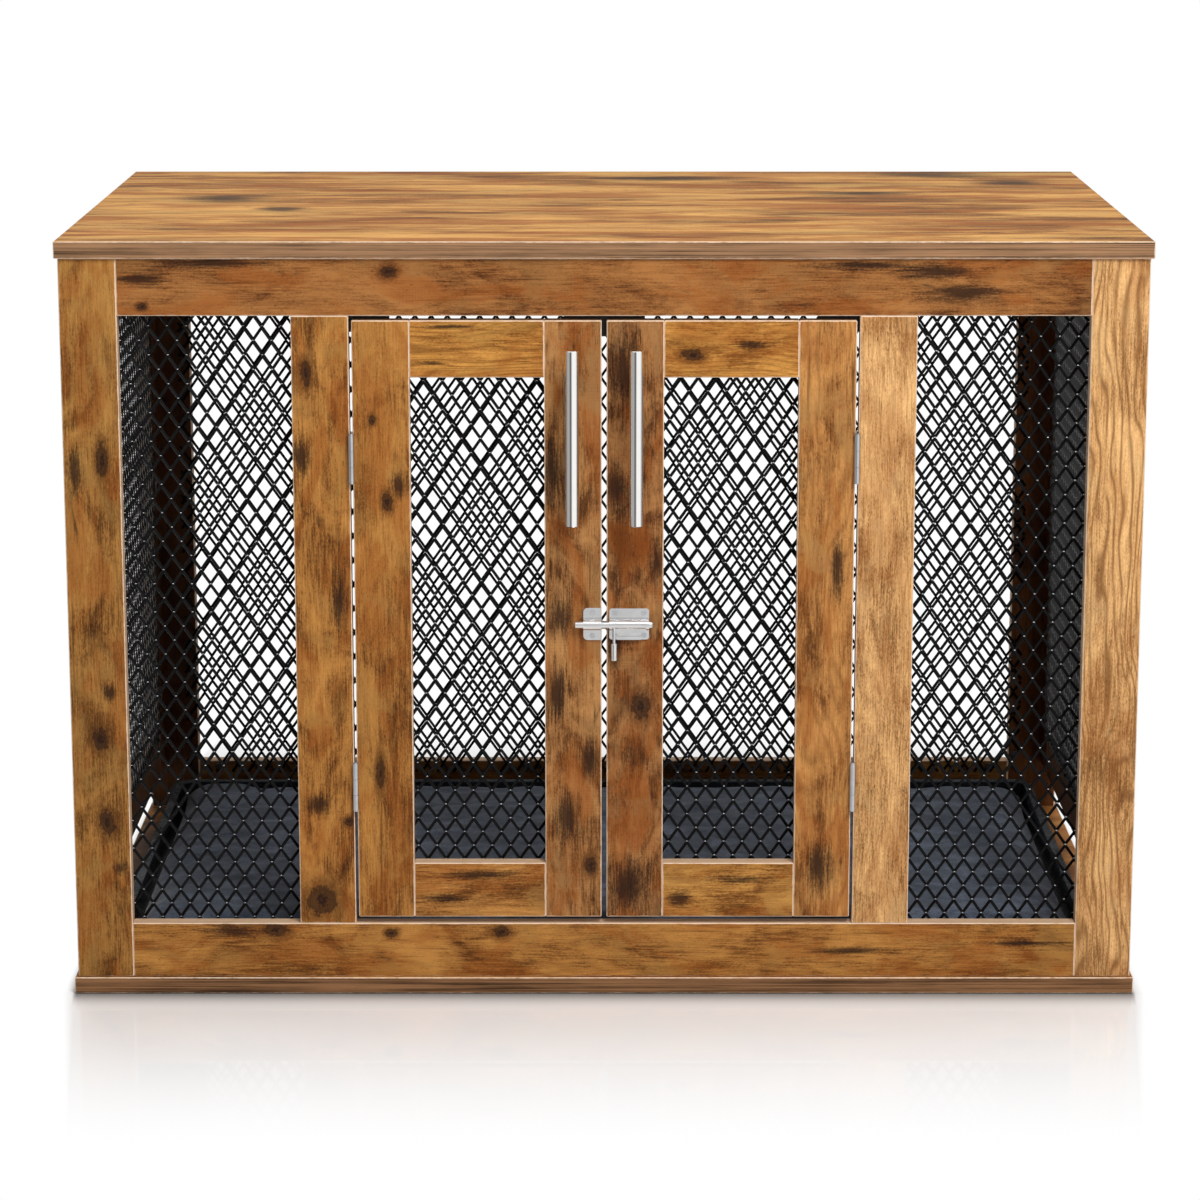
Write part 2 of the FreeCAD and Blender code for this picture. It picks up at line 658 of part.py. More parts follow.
def bolt_and_knob():
    """The bolt, with a waist for the knob's collar, and the knob that hangs from the collar."""
    tip = -door_edge - bolt_tip_reach
    tail = housing_end + bolt_tail
    bolt = rod(bolt_radius, V(tip, bolt_y, door_middle), ALONG_X, tail - tip)
    bolt = bolt.makeChamfer(0.5, [e for e in bolt.Edges if e.Closed and e.Length > bolt_radius])
    half_collar = knob_collar_length / 2
    waist_radius = bolt_radius - knob_collar_wall
    waist_half = half_collar + knob_collar_gap
    start = V(knob_x - waist_half, bolt_y, door_middle)
    waste = rod(bolt_radius + 1, start, ALONG_X, 2 * waist_half)
    waste = waste.cut(rod(waist_radius, start, ALONG_X, 2 * waist_half))
    add("bolt", front.put(bolt.cut(waste)))

    collar_start = V(knob_x - half_collar, bolt_y, door_middle)
    collar = rod(bolt_radius, collar_start, ALONG_X, knob_collar_length)
    stem = rod(knob_stem_diameter / 2, V(knob_x, bolt_y, door_middle), V(0, 0, -1), knob_stem_reach)
    knob_foot = door_middle - knob_stem_reach - knob_length
    grip = rod(knob_diameter / 2, V(knob_x, bolt_y, knob_foot), ALONG_Z, knob_length)
    grip = grip.makeChamfer(0.5, [e for e in grip.Edges if e.Closed and e.Length > knob_diameter])
    bore_hole = rod(waist_radius + knob_collar_fit, collar_start - ALONG_X, ALONG_X, knob_collar_length + 2)
    add("bolt_knob", front.put(collar.fuse([stem, grip]).cut(bore_hole).removeSplitter()))


# ---------------------------------------------------------------- tray and cushion
def tray_and_cushion():
    rim_x = inner_x - tray_side_gap
    rim_y = inner_y - tray_front_gap
    wall_x, wall_y = rim_x - tray_lip, rim_y - tray_lip
    inside_x, inside_y = wall_x - tray_wall, wall_y - tray_wall
    floor, rim = frame_bottom, frame_bottom + tray_height
    wall_corner = tray_corner - tray_lip
    inside_corner = wall_corner - tray_wall
    shell = rounded_prism(wall_x, wall_y, wall_corner, floor, rim)
    shell = shell.fuse(rounded_prism(rim_x, rim_y, tray_corner, rim - tray_lip_thickness, rim))
    inside = rounded_prism(inside_x, inside_y, inside_corner, floor + tray_wall, rim + 1)
    add("tray", shell.cut(inside).removeSplitter())

    base = floor + tray_wall + cushion_lift
    half_x, half_y = inside_x - cushion_gap, inside_y - cushion_gap
    outlines = [rounded_outline(half_x - draw, half_y - draw, cushion_corner,
                                base + share * cushion_thickness)
                for share, draw in cushion_profile]
    add("cushion", Part.makeLoft(outlines, True, True))


# ---------------------------------------------------------------- the whole table
panels()
front_frame()
back_frame()
side_frame(left, "left", 1)
side_frame(right, "right", -1)
door_stops()
door("left", -1)
door("right", 1)
latch()
tray_and_cushion()

os.makedirs("parts", exist_ok=True)
for name, shapes in nodes.items():
    drilled = [shape.cut(bores[name]) if name in bores else shape for shape in shapes]
    solids = [solid for shape in drilled for solid in shape.Solids]
    group(solids).exportStep(f"parts/{name}.step")
    print(name, len(solids), all(solid.isValid() for solid in solids))
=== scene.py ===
"""Dog crate end table: printed wood boards, expanded metal nets, bright latch, tray and plush cushion,
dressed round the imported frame, with a pale studio stage. Lengths are in metres, in the frame's axes."""

import math

import bmesh
import bpy
import numpy as np
from bpy.props import FloatProperty, FloatVectorProperty, IntProperty, PointerProperty
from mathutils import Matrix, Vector, noise


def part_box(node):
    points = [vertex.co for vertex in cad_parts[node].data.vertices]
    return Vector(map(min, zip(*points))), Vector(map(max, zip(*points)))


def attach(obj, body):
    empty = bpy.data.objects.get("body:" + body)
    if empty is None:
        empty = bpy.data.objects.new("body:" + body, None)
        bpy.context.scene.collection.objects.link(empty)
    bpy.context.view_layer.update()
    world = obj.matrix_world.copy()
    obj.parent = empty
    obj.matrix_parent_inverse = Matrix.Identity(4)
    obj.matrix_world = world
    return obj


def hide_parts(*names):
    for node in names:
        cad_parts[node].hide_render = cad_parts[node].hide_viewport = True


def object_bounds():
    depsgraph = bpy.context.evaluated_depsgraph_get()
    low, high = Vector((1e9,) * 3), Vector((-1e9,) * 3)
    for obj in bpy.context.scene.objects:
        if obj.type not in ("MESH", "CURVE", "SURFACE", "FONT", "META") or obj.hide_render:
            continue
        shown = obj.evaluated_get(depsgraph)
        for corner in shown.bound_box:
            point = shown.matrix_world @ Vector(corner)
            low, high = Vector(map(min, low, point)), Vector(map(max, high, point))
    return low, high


bl_info = {
    "name": "Dog crate end table",
    "version": (1, 0, 0),
    "blender": (4, 5, 0),
    "location": "3D View > Sidebar > Crate",
    "description": "Finishes, nets, cushion and studio stage of a dog crate end table",
    "category": "Object",
}

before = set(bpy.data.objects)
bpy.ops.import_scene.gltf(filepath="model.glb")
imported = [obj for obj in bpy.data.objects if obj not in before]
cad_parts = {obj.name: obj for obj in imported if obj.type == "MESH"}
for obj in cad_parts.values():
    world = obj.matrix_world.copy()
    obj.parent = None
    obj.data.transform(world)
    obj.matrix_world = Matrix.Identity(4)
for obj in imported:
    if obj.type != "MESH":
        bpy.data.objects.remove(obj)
cad_low, cad_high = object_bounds()

MM = 0.001
CABINET, LEFT_DOOR, RIGHT_DOOR, TRAY_BODY = "cabinet", "left_door", "right_door", "drawer_tray"


def tint(red, green, blue):
    """A colour given in screen values from 0 to 255, as the linear values that shaders use."""
    def linear(value):
        value /= 255.0
        return value / 12.92 if value <= 0.04045 else ((value + 0.055) / 1.055) ** 2.4
    return (linear(red), linear(green), linear(blue))


# ---------------------------------------------------------------- settings

def colour_setting(name, description, red, green, blue):
    return FloatVectorProperty(name=name, description=description, subtype="COLOR", size=3,
                               min=0.0, max=1.0, default=tint(red, green, blue))


def length_setting(name, description, millimetres):
    return FloatProperty(name=name, description=description, unit="LENGTH", subtype="DISTANCE",
                         min=0.0, default=millimetres * MM)


def share_setting(name, description, value):
    return FloatProperty(name=name, description=description, subtype="FACTOR",
                         min=0.0, max=1.0, default=value)


class CrateWoodSettings(bpy.types.PropertyGroup):
    """Colours and sizes of the printed wood."""
    char: colour_setting("Char", "Colour of the darkest stains and knots", 36, 19, 9)
    rust: colour_setting("Rust", "Ruddy brown that parts of the print turn to", 140, 74, 22)
    edge: colour_setting("Edge", "Colour of the boards' narrow faces", 190, 158, 128)
    # painted shade: the Inside colour darkens the print on faces that look into the cabin, standing for the
    # shade there
    inside: colour_setting("Inside", "What the print is darkened by on faces inside the cabin", 146, 138, 132)
    arris: colour_setting("Arris", "Pale line where the print ends at a board's edges", 228, 203, 178)
    arris_width: length_setting("Arris width", "How far the pale line reaches from an edge", 0.8)
    fibre_length: length_setting("Fibre length", "Typical length of a fibre in the print", 24.0)
    fibre_width: length_setting("Fibre width", "Typical width of a fibre in the print", 1.15)
    gloss: share_setting("Roughness", "Roughness of the sealed print", 0.52)


class CrateNetSettings(bpy.types.PropertyGroup):
    """Sizes and colour of the expanded metal nets."""
    pitch_across: length_setting("Pitch across", "Width of one diamond", 16.5)
    pitch_up: length_setting("Pitch up", "Height of one diamond", 25.5)
    strand_width: length_setting("Strand width", "Face width of one strand", 2.5)
    strand_depth: length_setting("Strand depth", "Thickness of the sheet that the net is cut from", 1.0)
    tilt: FloatProperty(name="Strand tilt", description="Turn of a strand about its own line",
                        subtype="ANGLE", default=math.radians(24.0))
    enamel: colour_setting("Enamel", "Colour of the baked enamel", 4, 4, 5)


class CrateCushionSettings(bpy.types.PropertyGroup):
    """Shape and colour of the plush cushion."""
    inset: length_setting("Inset", "How much smaller the unfilled cover starts than its place", 4.0)
    swell: length_setting("Swell", "The most a point of the cover may move as it fills", 13.0)
    pressure: FloatProperty(name="Pressure", description="Filling pressure of the cover",
                            min=0.0, default=4.0)
    voxel: length_setting("Mesh size", "Size of the cells that the cover is remeshed to", 6.6)
    steps: IntProperty(name="Steps", description="Steps of the filling simulation", min=2, default=20)
    plush: colour_setting("Plush", "Colour of the short pile", 66, 75, 89)
    # painted sheen: the brushed colour stands for light caught where the pile leans towards the lamps
    brushed: colour_setting("Brushed pile", "Colour where the pile leans towards the light", 112, 123, 141)


class CrateMetalSettings(bpy.types.PropertyGroup):
    """Colours of the metal and plastic parts."""
    steel: colour_setting("Satin steel", "Colour of the bar handles", 247, 245, 242)
    chrome: colour_setting("Bright plating", "Colour of the latch", 222, 222, 222)
    zinc: colour_setting("Zinc", "Colour of hinges and fasteners", 196, 198, 202)
    plate: colour_setting("Black plate", "Colour of the door stops", 20, 20, 21)
    plastic: colour_setting("Black plastic", "Colour of the tray", 24, 25, 27)


class CrateStageSettings(bpy.types.PropertyGroup):
    """Floor, lights and camera of the studio."""
    floor: colour_setting("Floor", "Colour of the floor", 233, 230, 228)
    camera_place: FloatVectorProperty(name="Camera place", description="Where the camera stands",
                                      subtype="TRANSLATION", size=3, default=(-0.0036, -3.569, 1.067))
    camera_tilt: FloatProperty(name="Camera tilt", description="How far the camera looks down",
                               subtype="ANGLE", default=math.radians(12.17))
    lens: FloatProperty(name="Lens", description="Focal length in millimetres", min=1.0, default=114.1)
    sky: FloatProperty(name="Sky", description="Strength of the light from all round", min=0.0, default=0.42)
    key: FloatProperty(name="Key lamp", description="Power of the lamp at the right in watts",
                       min=0.0, default=118.0)


SETTINGS = {"crate_wood": CrateWoodSettings, "crate_net": CrateNetSettings,
            "crate_cushion": CrateCushionSettings, "crate_metal": CrateMetalSettings,
            "crate_stage": CrateStageSettings}


# ---------------------------------------------------------------- shader sums

class Signal:
    """A socket of a finish's nodes that takes part in Python sums."""

    def __init__(self, finish, socket):
        self.finish, self.socket = finish, socket

    def sum(self, operation, *terms):
        return self.finish.node("ShaderNodeMath", {"operation": operation}, dict(enumerate(terms)))

    def __add__(self, other):
        return self.sum("ADD", self, other)

    __radd__ = __add__

    def __mul__(self, other):
        return self.sum("MULTIPLY", self, other)

    __rmul__ = __mul__

    def __sub__(self, other):
        return self.sum("SUBTRACT", self, other)

    def __rsub__(self, other):
        return self.sum("SUBTRACT", other, self)

    def __truediv__(self, other):
        return self.sum("DIVIDE", self, other)

    def __rtruediv__(self, other):
        return self.sum("DIVIDE", other, self)

    def __pow__(self, other):
        return self.sum("POWER", self, other)

    def __abs__(self):
        return self.sum("ABSOLUTE", self)


def smaller(first, second):
    return first.sum("MINIMUM", first, second)


def larger(first, second):
    return first.sum("MAXIMUM", first, second)


def sine(value):
    return value.sum("SINE", value)


class Finish:
    """One material, or the world, and the nodes that it is written with."""

    def __init__(self, name, world=None):
        self.material = world or bpy.data.materials.new(name)
        self.material.use_nodes = True
        self.tree = self.material.node_tree
        self.tree.nodes.clear()

    def node(self, kind, settings=None, values=None, output=0):
        """Adds one node: its settings first, then the values or links of its sockets."""
        made = self.tree.nodes.new(kind)
        for name, value in (settings or {}).items():
            if name == "stops":
                while len(made.color_ramp.elements) < len(value):
                    made.color_ramp.elements.new(0.5)
                for element, (place, colour) in zip(made.color_ramp.elements, value):
                    element.position, element.color = place, (*colour, 1.0)
            else:
                setattr(made, name, value)
        for name, value in (values or {}).items():
            socket = made.inputs[name]
            if isinstance(value, Signal):
                self.tree.links.new(value.socket, socket)
            elif socket.type == "RGBA":
                socket.default_value = (*value, 1.0)[:4]
            else:
                socket.default_value = value
        return Signal(self, made.outputs[output])

    def here(self, output="Object"):
        return self.node("ShaderNodeTexCoord", output=output)

    def split(self, vector):
        parts = self.node("ShaderNodeSeparateXYZ", values={0: vector}).socket.node
        return [Signal(self, parts.outputs[i]) for i in range(3)]

    def stretched(self, vector, sizes, shift=(0.0, 0.0, 0.0)):
        """The place divided by a size along each axis, so that a pattern has features of those sizes."""
        return self.node("ShaderNodeMapping", values={
            "Vector": vector, "Location": shift, "Scale": tuple(1.0 / s for s in sizes)})

    def noise(self, vector, detail=2.0, rough=0.5, wander=0.0, scale=1.0):
        return self.node("ShaderNodeTexNoise", values={
            "Vector": vector, "Scale": scale, "Detail": detail, "Roughness": rough, "Distortion": wander})

    def step(self, value, low, high):
        """A soft step from 0 at low to 1 at high."""
        return self.node("ShaderNodeMapRange", {"interpolation_type": "SMOOTHSTEP"},
                         {"Value": value, "From Min": low, "From Max": high})

    def mix(self, first, second, share, blend="MIX"):
        return self.node("ShaderNodeMix", {"data_type": "RGBA", "blend_type": blend},
                         {0: share, 6: first, 7: second}, output=2)

    def ramp(self, value, *stops):
        return self.node("ShaderNodeValToRGB", {"stops": stops}, {"Fac": value})

    def bump(self, height, strength, distance):
        return self.node("ShaderNodeBump", values={
            "Height": height, "Strength": strength, "Distance": distance})

    def surface(self, **values):
        """The shader itself, with underscores in place of spaces in the names of its sockets."""
        shader = self.node("ShaderNodeBsdfPrincipled",
                           values={name.replace("_", " "): value for name, value in values.items()})
        self.node_out(shader)
        return self.material

    def node_out(self, shader, kind="ShaderNodeOutputMaterial"):
        out = self.tree.nodes.new(kind)
        self.tree.links.new(shader.socket, out.inputs["Surface"])


def wear(node, material):
    """Gives a CAD node its material."""
    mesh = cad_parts[node].data
    mesh.materials.clear()
    mesh.materials.append(material)


# ---------------------------------------------------------------- wood

AXES = {"X": 0, "Y": 1, "Z": 2}


def near_edges(finish, place, low, high):
    """Distance to the nearest edge of a board: the second smallest of its distances to the faces."""
    reach = [smaller(c - low[i], high[i] - c) for i, c in enumerate(place)]
    least, most = smaller(reach[0], reach[1]), larger(reach[0], reach[1])
    return larger(least, smaller(most, reach[2]))


def shade(colour, light, redder=0.0):
    """A colour made lighter or darker, with a little of its green and blue taken out."""
    return (colour[0] * light, colour[1] * light * (1 - redder), colour[2] * light * (1 - 2 * redder))


def wood_finish(name, low, high, grain, face, tone, seed, stain=0.5, rings=0.0, contrast=1.0, marks=(),
                edge=None, shaded_side=0, drawn=1.0):
    """Rustic wood print for one board. low and high are its corners, grain is the axis that its fibres
    follow, face the axis that its broad face looks along. marks are knots ("knot") and dark smears ("smear"),
    each with its place along and across the grain and its half length and half width, in millimetres. edge is
    the colour of the narrow faces and how much it varies; the shaded side is the sign of the broad face
    inside the cabin, which gets painted shade. drawn makes patches longer and smears larger, for a print that
    is seen whole on a wide board."""
    look = bpy.context.scene.crate_wood
    wood = Finish(name)
    here = wood.here()
    place = wood.split(here)
    run, out = AXES[grain], AXES[face]
    side = 3 - run - out
    along, across = place[run], place[side]
    shift = [seed * 1.37 + 0.31, seed * 2.11 + 0.77, seed * 0.73 + 0.19]

    def pattern(length, width, detail, rough, wander=0.0, turn=0.0):
        sizes = [width * MM] * 3
        sizes[run] = length * MM
        return wood.noise(wood.stretched(here, sizes, [s + turn for s in shift]), detail, rough, wander)

    clouds = pattern((105.0 - 70.0 * stain) * drawn, 40.0, 4.0, 0.60, 0.9 / drawn)
    smears = pattern(46.0 * drawn, 6.0 * drawn, 5.0, 0.66, 0.5 / drawn, 3.1)
    fibres = pattern(look.fibre_length / MM, look.fibre_width / MM, 2.0, 0.6, 0.0, 5.7)
    grit = pattern(2.6, 1.2, 2.0, 0.65, 0.0, 7.3)
    # how far each pattern is from its middle value
    cloud_swing, smear_swing, fibre_swing, grit_swing = clouds - 0.5, smears - 0.5, fibres - 0.5, grit - 0.5
    value = (cloud_swing * (1.60 * contrast) + smear_swing * (0.62 * contrast)
             + fibre_swing * (0.55 + 0.25 * contrast) + grit_swing * 0.55 + 0.5)
    colour = wood.ramp(value, (0.08, shade(tone, 0.17, 0.26)), (0.30, shade(tone, 0.49, 0.16)),
                       (0.50, shade(tone, 1.00)), (0.80, shade(tone, 1.48, -0.08)))
    if rings:
        bent = across / (7.5 * MM) + (pattern(170.0, 40.0, 2.0, 0.4, 0.0, 8.3) - 0.5) * 13.0
        growth = (sine(bent * (2 * math.pi)) * 0.5 + 0.5) ** 3.0 * wood.step(smears, 0.25, 0.55)
        colour = wood.mix(colour, shade(tone, 0.36, 0.20), growth * (0.85 * rings))
    ruddy = wood.step(pattern(76.0 * drawn, 30.0, 4.0, 0.6, 0.6 / drawn, 11.9), 0.47, 0.60)
    colour = wood.mix(colour, look.rust, ruddy * (0.50 * contrast))
    olive = wood.step(pattern(60.0 * drawn, 34.0, 4.0, 0.6, 0.5 / drawn, 37.2), 0.52, 0.66)
    colour = wood.mix(colour, shade(tone, 1.05, -0.18), olive * (0.55 * contrast))
    blotched = pattern(52.0 * drawn, 24.0, 5.0, 0.66, 0.8 / drawn, 17.6)
    blotched = blotched + smear_swing * 0.3 + fibre_swing * 0.3
    blots = wood.step(blotched, 0.69 - 0.14 * stain, 0.86 - 0.12 * stain)
    colour = wood.mix(colour, look.char, blots * 0.86)
    pores = wood.step(pattern(5.0, 0.9, 2.0, 0.5, 0.0, 14.2) + cloud_swing * -0.2, 0.64, 0.72)
    colour = wood.mix(colour, look.char, pores * 0.55)
    scratches = wood.step(pattern(120.0, 2.4, 2.0, 0.5, 0.4, 51.0), 0.66, 0.74)
    colour = wood.mix(colour, shade(tone, 0.22, 0.15), scratches * (0.55 * contrast))
    specks = wood.node("ShaderNodeTexVoronoi", values={
        "Vector": wood.stretched(here, [(29.0 if i == run else 17.0) * MM for i in range(3)], shift)})
    colour = wood.mix(colour, look.char, (1.0 - wood.step(specks, 0.03, 0.07)) * 0.8)
    ragged = (pattern(12.0, 7.0, 3.0, 0.62, 0.0, 21.0) - 0.5) * 1.3 + grit_swing * 1.1
    streaked = smear_swing * 1.5 + fibre_swing * 1.0 + grit_swing * 0.9
    for kind, a, b, half_length, half_width in marks:
        lengthways, sideways = (along / MM - a) / half_length, (across / MM - b) / half_width
        away = (lengthways * lengthways + sideways * sideways) ** 0.5
        if kind == "knot":
            away = away + ragged * min(1.0, 12.0 / half_length)
            colour = wood.mix(colour, shade(tone, 0.34, 0.22), wood.step(away, 1.9, 1.0) * 0.66)
            heart = wood.step(away, 1.08, 0.74) * (sine(away * 11.0) * 0.11 + 0.68)
            colour = wood.mix(colour, look.char, heart + wood.step(away, 0.70, 0.20) * 0.22)
        else:
            colour = wood.mix(colour, look.char, wood.step(away + streaked, 1.45, 0.25) * 0.88)
    wavy = along * (2 * math.pi / (2.7 * MM)) + pattern(9.0, 60.0, 2.0, 0.5, 0.0, 41.0) * 9.0
    patches = wood.step(pattern(34.0, 20.0, 2.0, 0.5, 0.0, 23.0), 0.50, 0.62)
    scores = wood.step(sine(wavy), 0.1, 0.9) * patches * (0.18 * stain)
    colour = wood.mix(colour, shade(tone, 0.25), scores)
    facing = wood.split(wood.here("Normal"))[out]
    # painted shade: broad faces looking into the cabin are multiplied by the Inside colour, standing for the
    # shade inside
    if shaded_side:
        colour = wood.mix(colour, look.inside, wood.step(facing * shaded_side, 0.5, 0.9), "MULTIPLY")
    edge_tone, spread = edge or (look.edge, 0.16)
    layers = pattern(220.0, 1.5, 3.0, 0.7, 0.0, 29.0)
    rim_colour = wood.ramp(layers + smear_swing * 0.5, (0.32, shade(edge_tone, 1 - spread, 0.03)),
                           (0.50, edge_tone), (0.68, shade(edge_tone, 1 + spread * 0.6)))
    colour = wood.mix(rim_colour, colour, wood.step(abs(facing), 0.5, 0.9))
    edges = near_edges(wood, place, low, high)
    wear_and_highlight = edges + (pattern(12.0, 9.0, 3.0, 0.7, 0.0, 31.0) - 0.5) * (1.3 * MM)
    pale = wood.step(wear_and_highlight, look.arris_width * 1.25, look.arris_width * 0.75)
    colour = wood.mix(colour, look.arris, pale * 0.80)
    return wood.surface(
        Base_Color=colour,
        Roughness=fibre_swing * 0.30 + look.gloss,
        Normal=wood.bump(fibres * 0.6 + pores * -0.8, 0.22, 0.0004),
        Specular_IOR_Level=0.12)


AMBER, OLIVE, RUSSET = tint(154, 103, 48), tint(150, 105, 50), tint(154, 97, 46)
HONEY, SAND, UMBER = tint(174, 119, 54), tint(199, 151, 97), tint(138, 92, 51)
# TOFFEE, where it is on the top panel, partly holds painted sheen from the light above
TOFFEE = tint(185, 133, 70)


# the photograph's front face: its scale, the pixel column of its middle, and the pixel row of its upper edge
PIXELS_PER_MM, MIDDLE_COLUMN, TOP_ROW = 1.13, 603.5, 238.0
TABLE_HEIGHT = 678.0


def x_of(pixel):
    """Place across the front, in millimetres, of a mark seen at a pixel."""
    return (pixel - MIDDLE_COLUMN) / PIXELS_PER_MM


def z_of(pixel):
    """Height, in millimetres, of a mark seen at a pixel."""
    return TABLE_HEIGHT - (pixel - TOP_ROW) / PIXELS_PER_MM


def upright_marks(*rows):
    """Marks of an upright board, from their pixel places and half sizes."""
    return [(kind, z_of(py), x_of(px), half_y / PIXELS_PER_MM, half_x / PIXELS_PER_MM)
            for kind, px, py, half_x, half_y in rows]


def level_marks(*rows):
    """Marks of a level board, from their pixel places and half sizes."""
    return [(kind, x_of(px), z_of(py), half_x / PIXELS_PER_MM, half_y / PIXELS_PER_MM)
            for kind, px, py, half_x, half_y in rows]


# name: grain axis, face axis, tone, stain, rings, contrast, marks
FRONT_BOARDS = {
    "front_left_post": ("Z", "Y", tint(144, 99, 47), 0.30, 0.0, 0.85, upright_marks(
        ("knot", 108, 455, 6, 19), ("knot", 99, 738, 9, 13), ("knot", 104, 826, 9, 14),
        ("smear", 116, 873, 6, 8), ("smear", 80, 465, 8, 25), ("smear", 110, 690, 8, 10))),
    "front_right_post": ("Z", "Y", SAND, 0.0, 1.0, 0.55, ()),
    "front_top_rail": ("X", "Y", tint(135, 86, 43), 0.50, 0.0, 0.95, level_marks(
        ("knot", 392, 268, 9, 7), ("knot", 152, 302, 5, 4), ("smear", 150, 275, 24, 7),
        ("smear", 225, 260, 60, 5), ("smear", 955, 289, 46, 10), ("smear", 930, 268, 40, 8),
        ("smear", 860, 262, 60, 4))),
    "front_bottom_rail": ("X", "Y", AMBER, 0.35, 0.0, 0.9, level_marks(
        ("knot", 270, 938, 15, 8), ("smear", 225, 938, 30, 7), ("knot", 388, 942, 7, 5),
        ("knot", 500, 940, 10, 7), ("smear", 1025, 952, 50, 2.5), ("smear", 850, 960, 40, 4))),
    "front_left_mid_stile": ("Z", "Y", AMBER, 0.45, 0.0, 1.0, upright_marks(
        ("knot", 318, 907, 17, 17), ("smear", 316, 806, 13, 11), ("knot", 347, 824, 6, 6),
        ("knot", 310, 368, 6, 14), ("smear", 304, 452, 9, 22), ("smear", 340, 600, 8, 30))),
    "front_right_mid_stile": ("Z", "Y", SAND, 0.0, 0.35, 0.6, ()),
}
DOOR_BOARDS = {
    "left_door_hinge_stile": ("Z", "Y", AMBER, 0.25, 0.0, 0.8, upright_marks(
        ("knot", 375, 415, 4, 6), ("knot", 389, 497, 6, 10), ("knot", 379, 773, 5, 19),
        ("smear", 400, 480, 9, 14))),
    "left_door_lock_stile": ("Z", "Y", tint(146, 100, 56), 0.60, 0.0, 1.15, upright_marks(
        ("smear", 552, 465, 9, 30), ("smear", 560, 612, 13, 26), ("smear", 556, 690, 11, 32),
        ("knot", 590, 870, 7, 10), ("smear", 566, 820, 14, 28), ("smear", 590, 760, 8, 22))),
    "left_door_top_rail": ("X", "Y", HONEY, 0.10, 0.8, 0.8, level_marks(
        ("smear", 435, 358, 14, 2), ("smear", 450, 322, 30, 2))),
    "left_door_bottom_rail": ("X", "Y", tint(163, 110, 54), 0.30, 0.3, 0.8, level_marks(
        ("smear", 480, 880, 40, 5), ("smear", 440, 905, 24, 4))),
    "right_door_lock_stile": ("Z", "Y", UMBER, 0.75, 0.0, 1.2, upright_marks(
        ("smear", 622, 365, 20, 38), ("smear", 615, 482, 12, 24), ("knot", 640, 705, 10, 15),
        ("smear", 655, 560, 7, 22), ("smear", 625, 890, 26, 30), ("smear", 614, 640, 10, 24))),
    "right_door_hinge_stile": ("Z", "Y", tint(162, 110, 58), 0.30, 0.5, 1.0, upright_marks(
        ("smear", 820, 870, 14, 26), ("smear", 835, 560, 6, 34))),
    "right_door_top_rail": ("X", "Y", HONEY, 0.10, 0.5, 0.8, level_marks(
        ("knot", 690, 350, 11, 7), ("smear", 750, 340, 18, 4))),
    "right_door_bottom_rail": ("X", "Y", tint(172, 120, 58), 0.30, 0.3, 0.9, level_marks(
        ("smear", 680, 905, 14, 10), ("smear", 740, 885, 30, 4))),
}
BACK_BOARDS = {
    "back_left_post": ("Z", "Y", UMBER, 0.5, 0.0, 0.9, ()),
    "back_right_post": ("Z", "Y", RUSSET, 0.4, 0.3, 0.9, ()),
    "back_top_rail": ("X", "Y", AMBER, 0.4, 0.0, 0.9, ()),
    "back_bottom_rail": ("X", "Y", TOFFEE, 0.2, 0.0, 0.9, ()),
}
SIDE_TONES = {"front_stile": ("Z", AMBER), "back_stile": ("Z", RUSSET), "top_rail": ("Y", OLIVE),
              "lower_rail": ("Y", AMBER)}


def dress_board(node, seed, grain, face, tone, stain, rings, contrast, marks, shaded_side=0):
    low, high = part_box(node)
    wear(node, wood_finish("wood_" + node, low, high, grain, face, tone, seed, stain, rings, contrast, marks,
                           shaded_side=shaded_side))


def dress_frames():
    seed = 1
    # back and side boards get painted shade on their broad faces inside the cabin
    for boards, shaded_side in ((FRONT_BOARDS, 0), (BACK_BOARDS, -1)):
        for node, row in boards.items():
            dress_board(node, seed, *row, shaded_side=shaded_side)
            seed += 1
    for hand, shaded_side in (("left", 1), ("right", -1)):
        for part, (grain, tone) in SIDE_TONES.items():
            dress_board(f"{hand}_side_{part}", seed, grain, "X", tone, 0.4, 0.2, 0.9, (), shaded_side=shaded_side)
            seed += 1


def dress_doors():
    for seed, (node, row) in enumerate(DOOR_BOARDS.items(), start=30):
        dress_board(node, seed, *row)


def dress_panels():
    low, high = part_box("top_panel")
    smears = [("smear", -298.0, -47.0, 22.0, 22.0), ("smear", 330.0, 262.0, 70.0, 26.0),
              ("smear", 400.0, 190.0, 40.0, 30.0), ("smear", 60.0, 232.0, 80.0, 26.0),
              ("smear", -360.0, 40.0, 46.0, 34.0), ("smear", 250.0, 90.0, 50.0, 20.0)]
    # the top panel's tone is lightened in part by painted sheen from the light above, and is in part the
    # print's own colour
    wear("top_panel", wood_finish("wood_top_panel", low, high, "X", "Z", TOFFEE, 50, 0.42, 0.45, 1.3, smears,
                                  edge=(tint(136, 102, 73), 0.75), drawn=2.7))
    low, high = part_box("base_panel")
    wear("base_panel", wood_finish("wood_base_panel", low, high, "X", "Z", AMBER, 51, 0.4, 0.0, 1.0,
                                   [("smear", -458.0, 0.0, 34.0, 330.0)],
                                   edge=(tint(128, 91, 61), 0.75), drawn=3.0))


# ---------------------------------------------------------------- metal and plastic

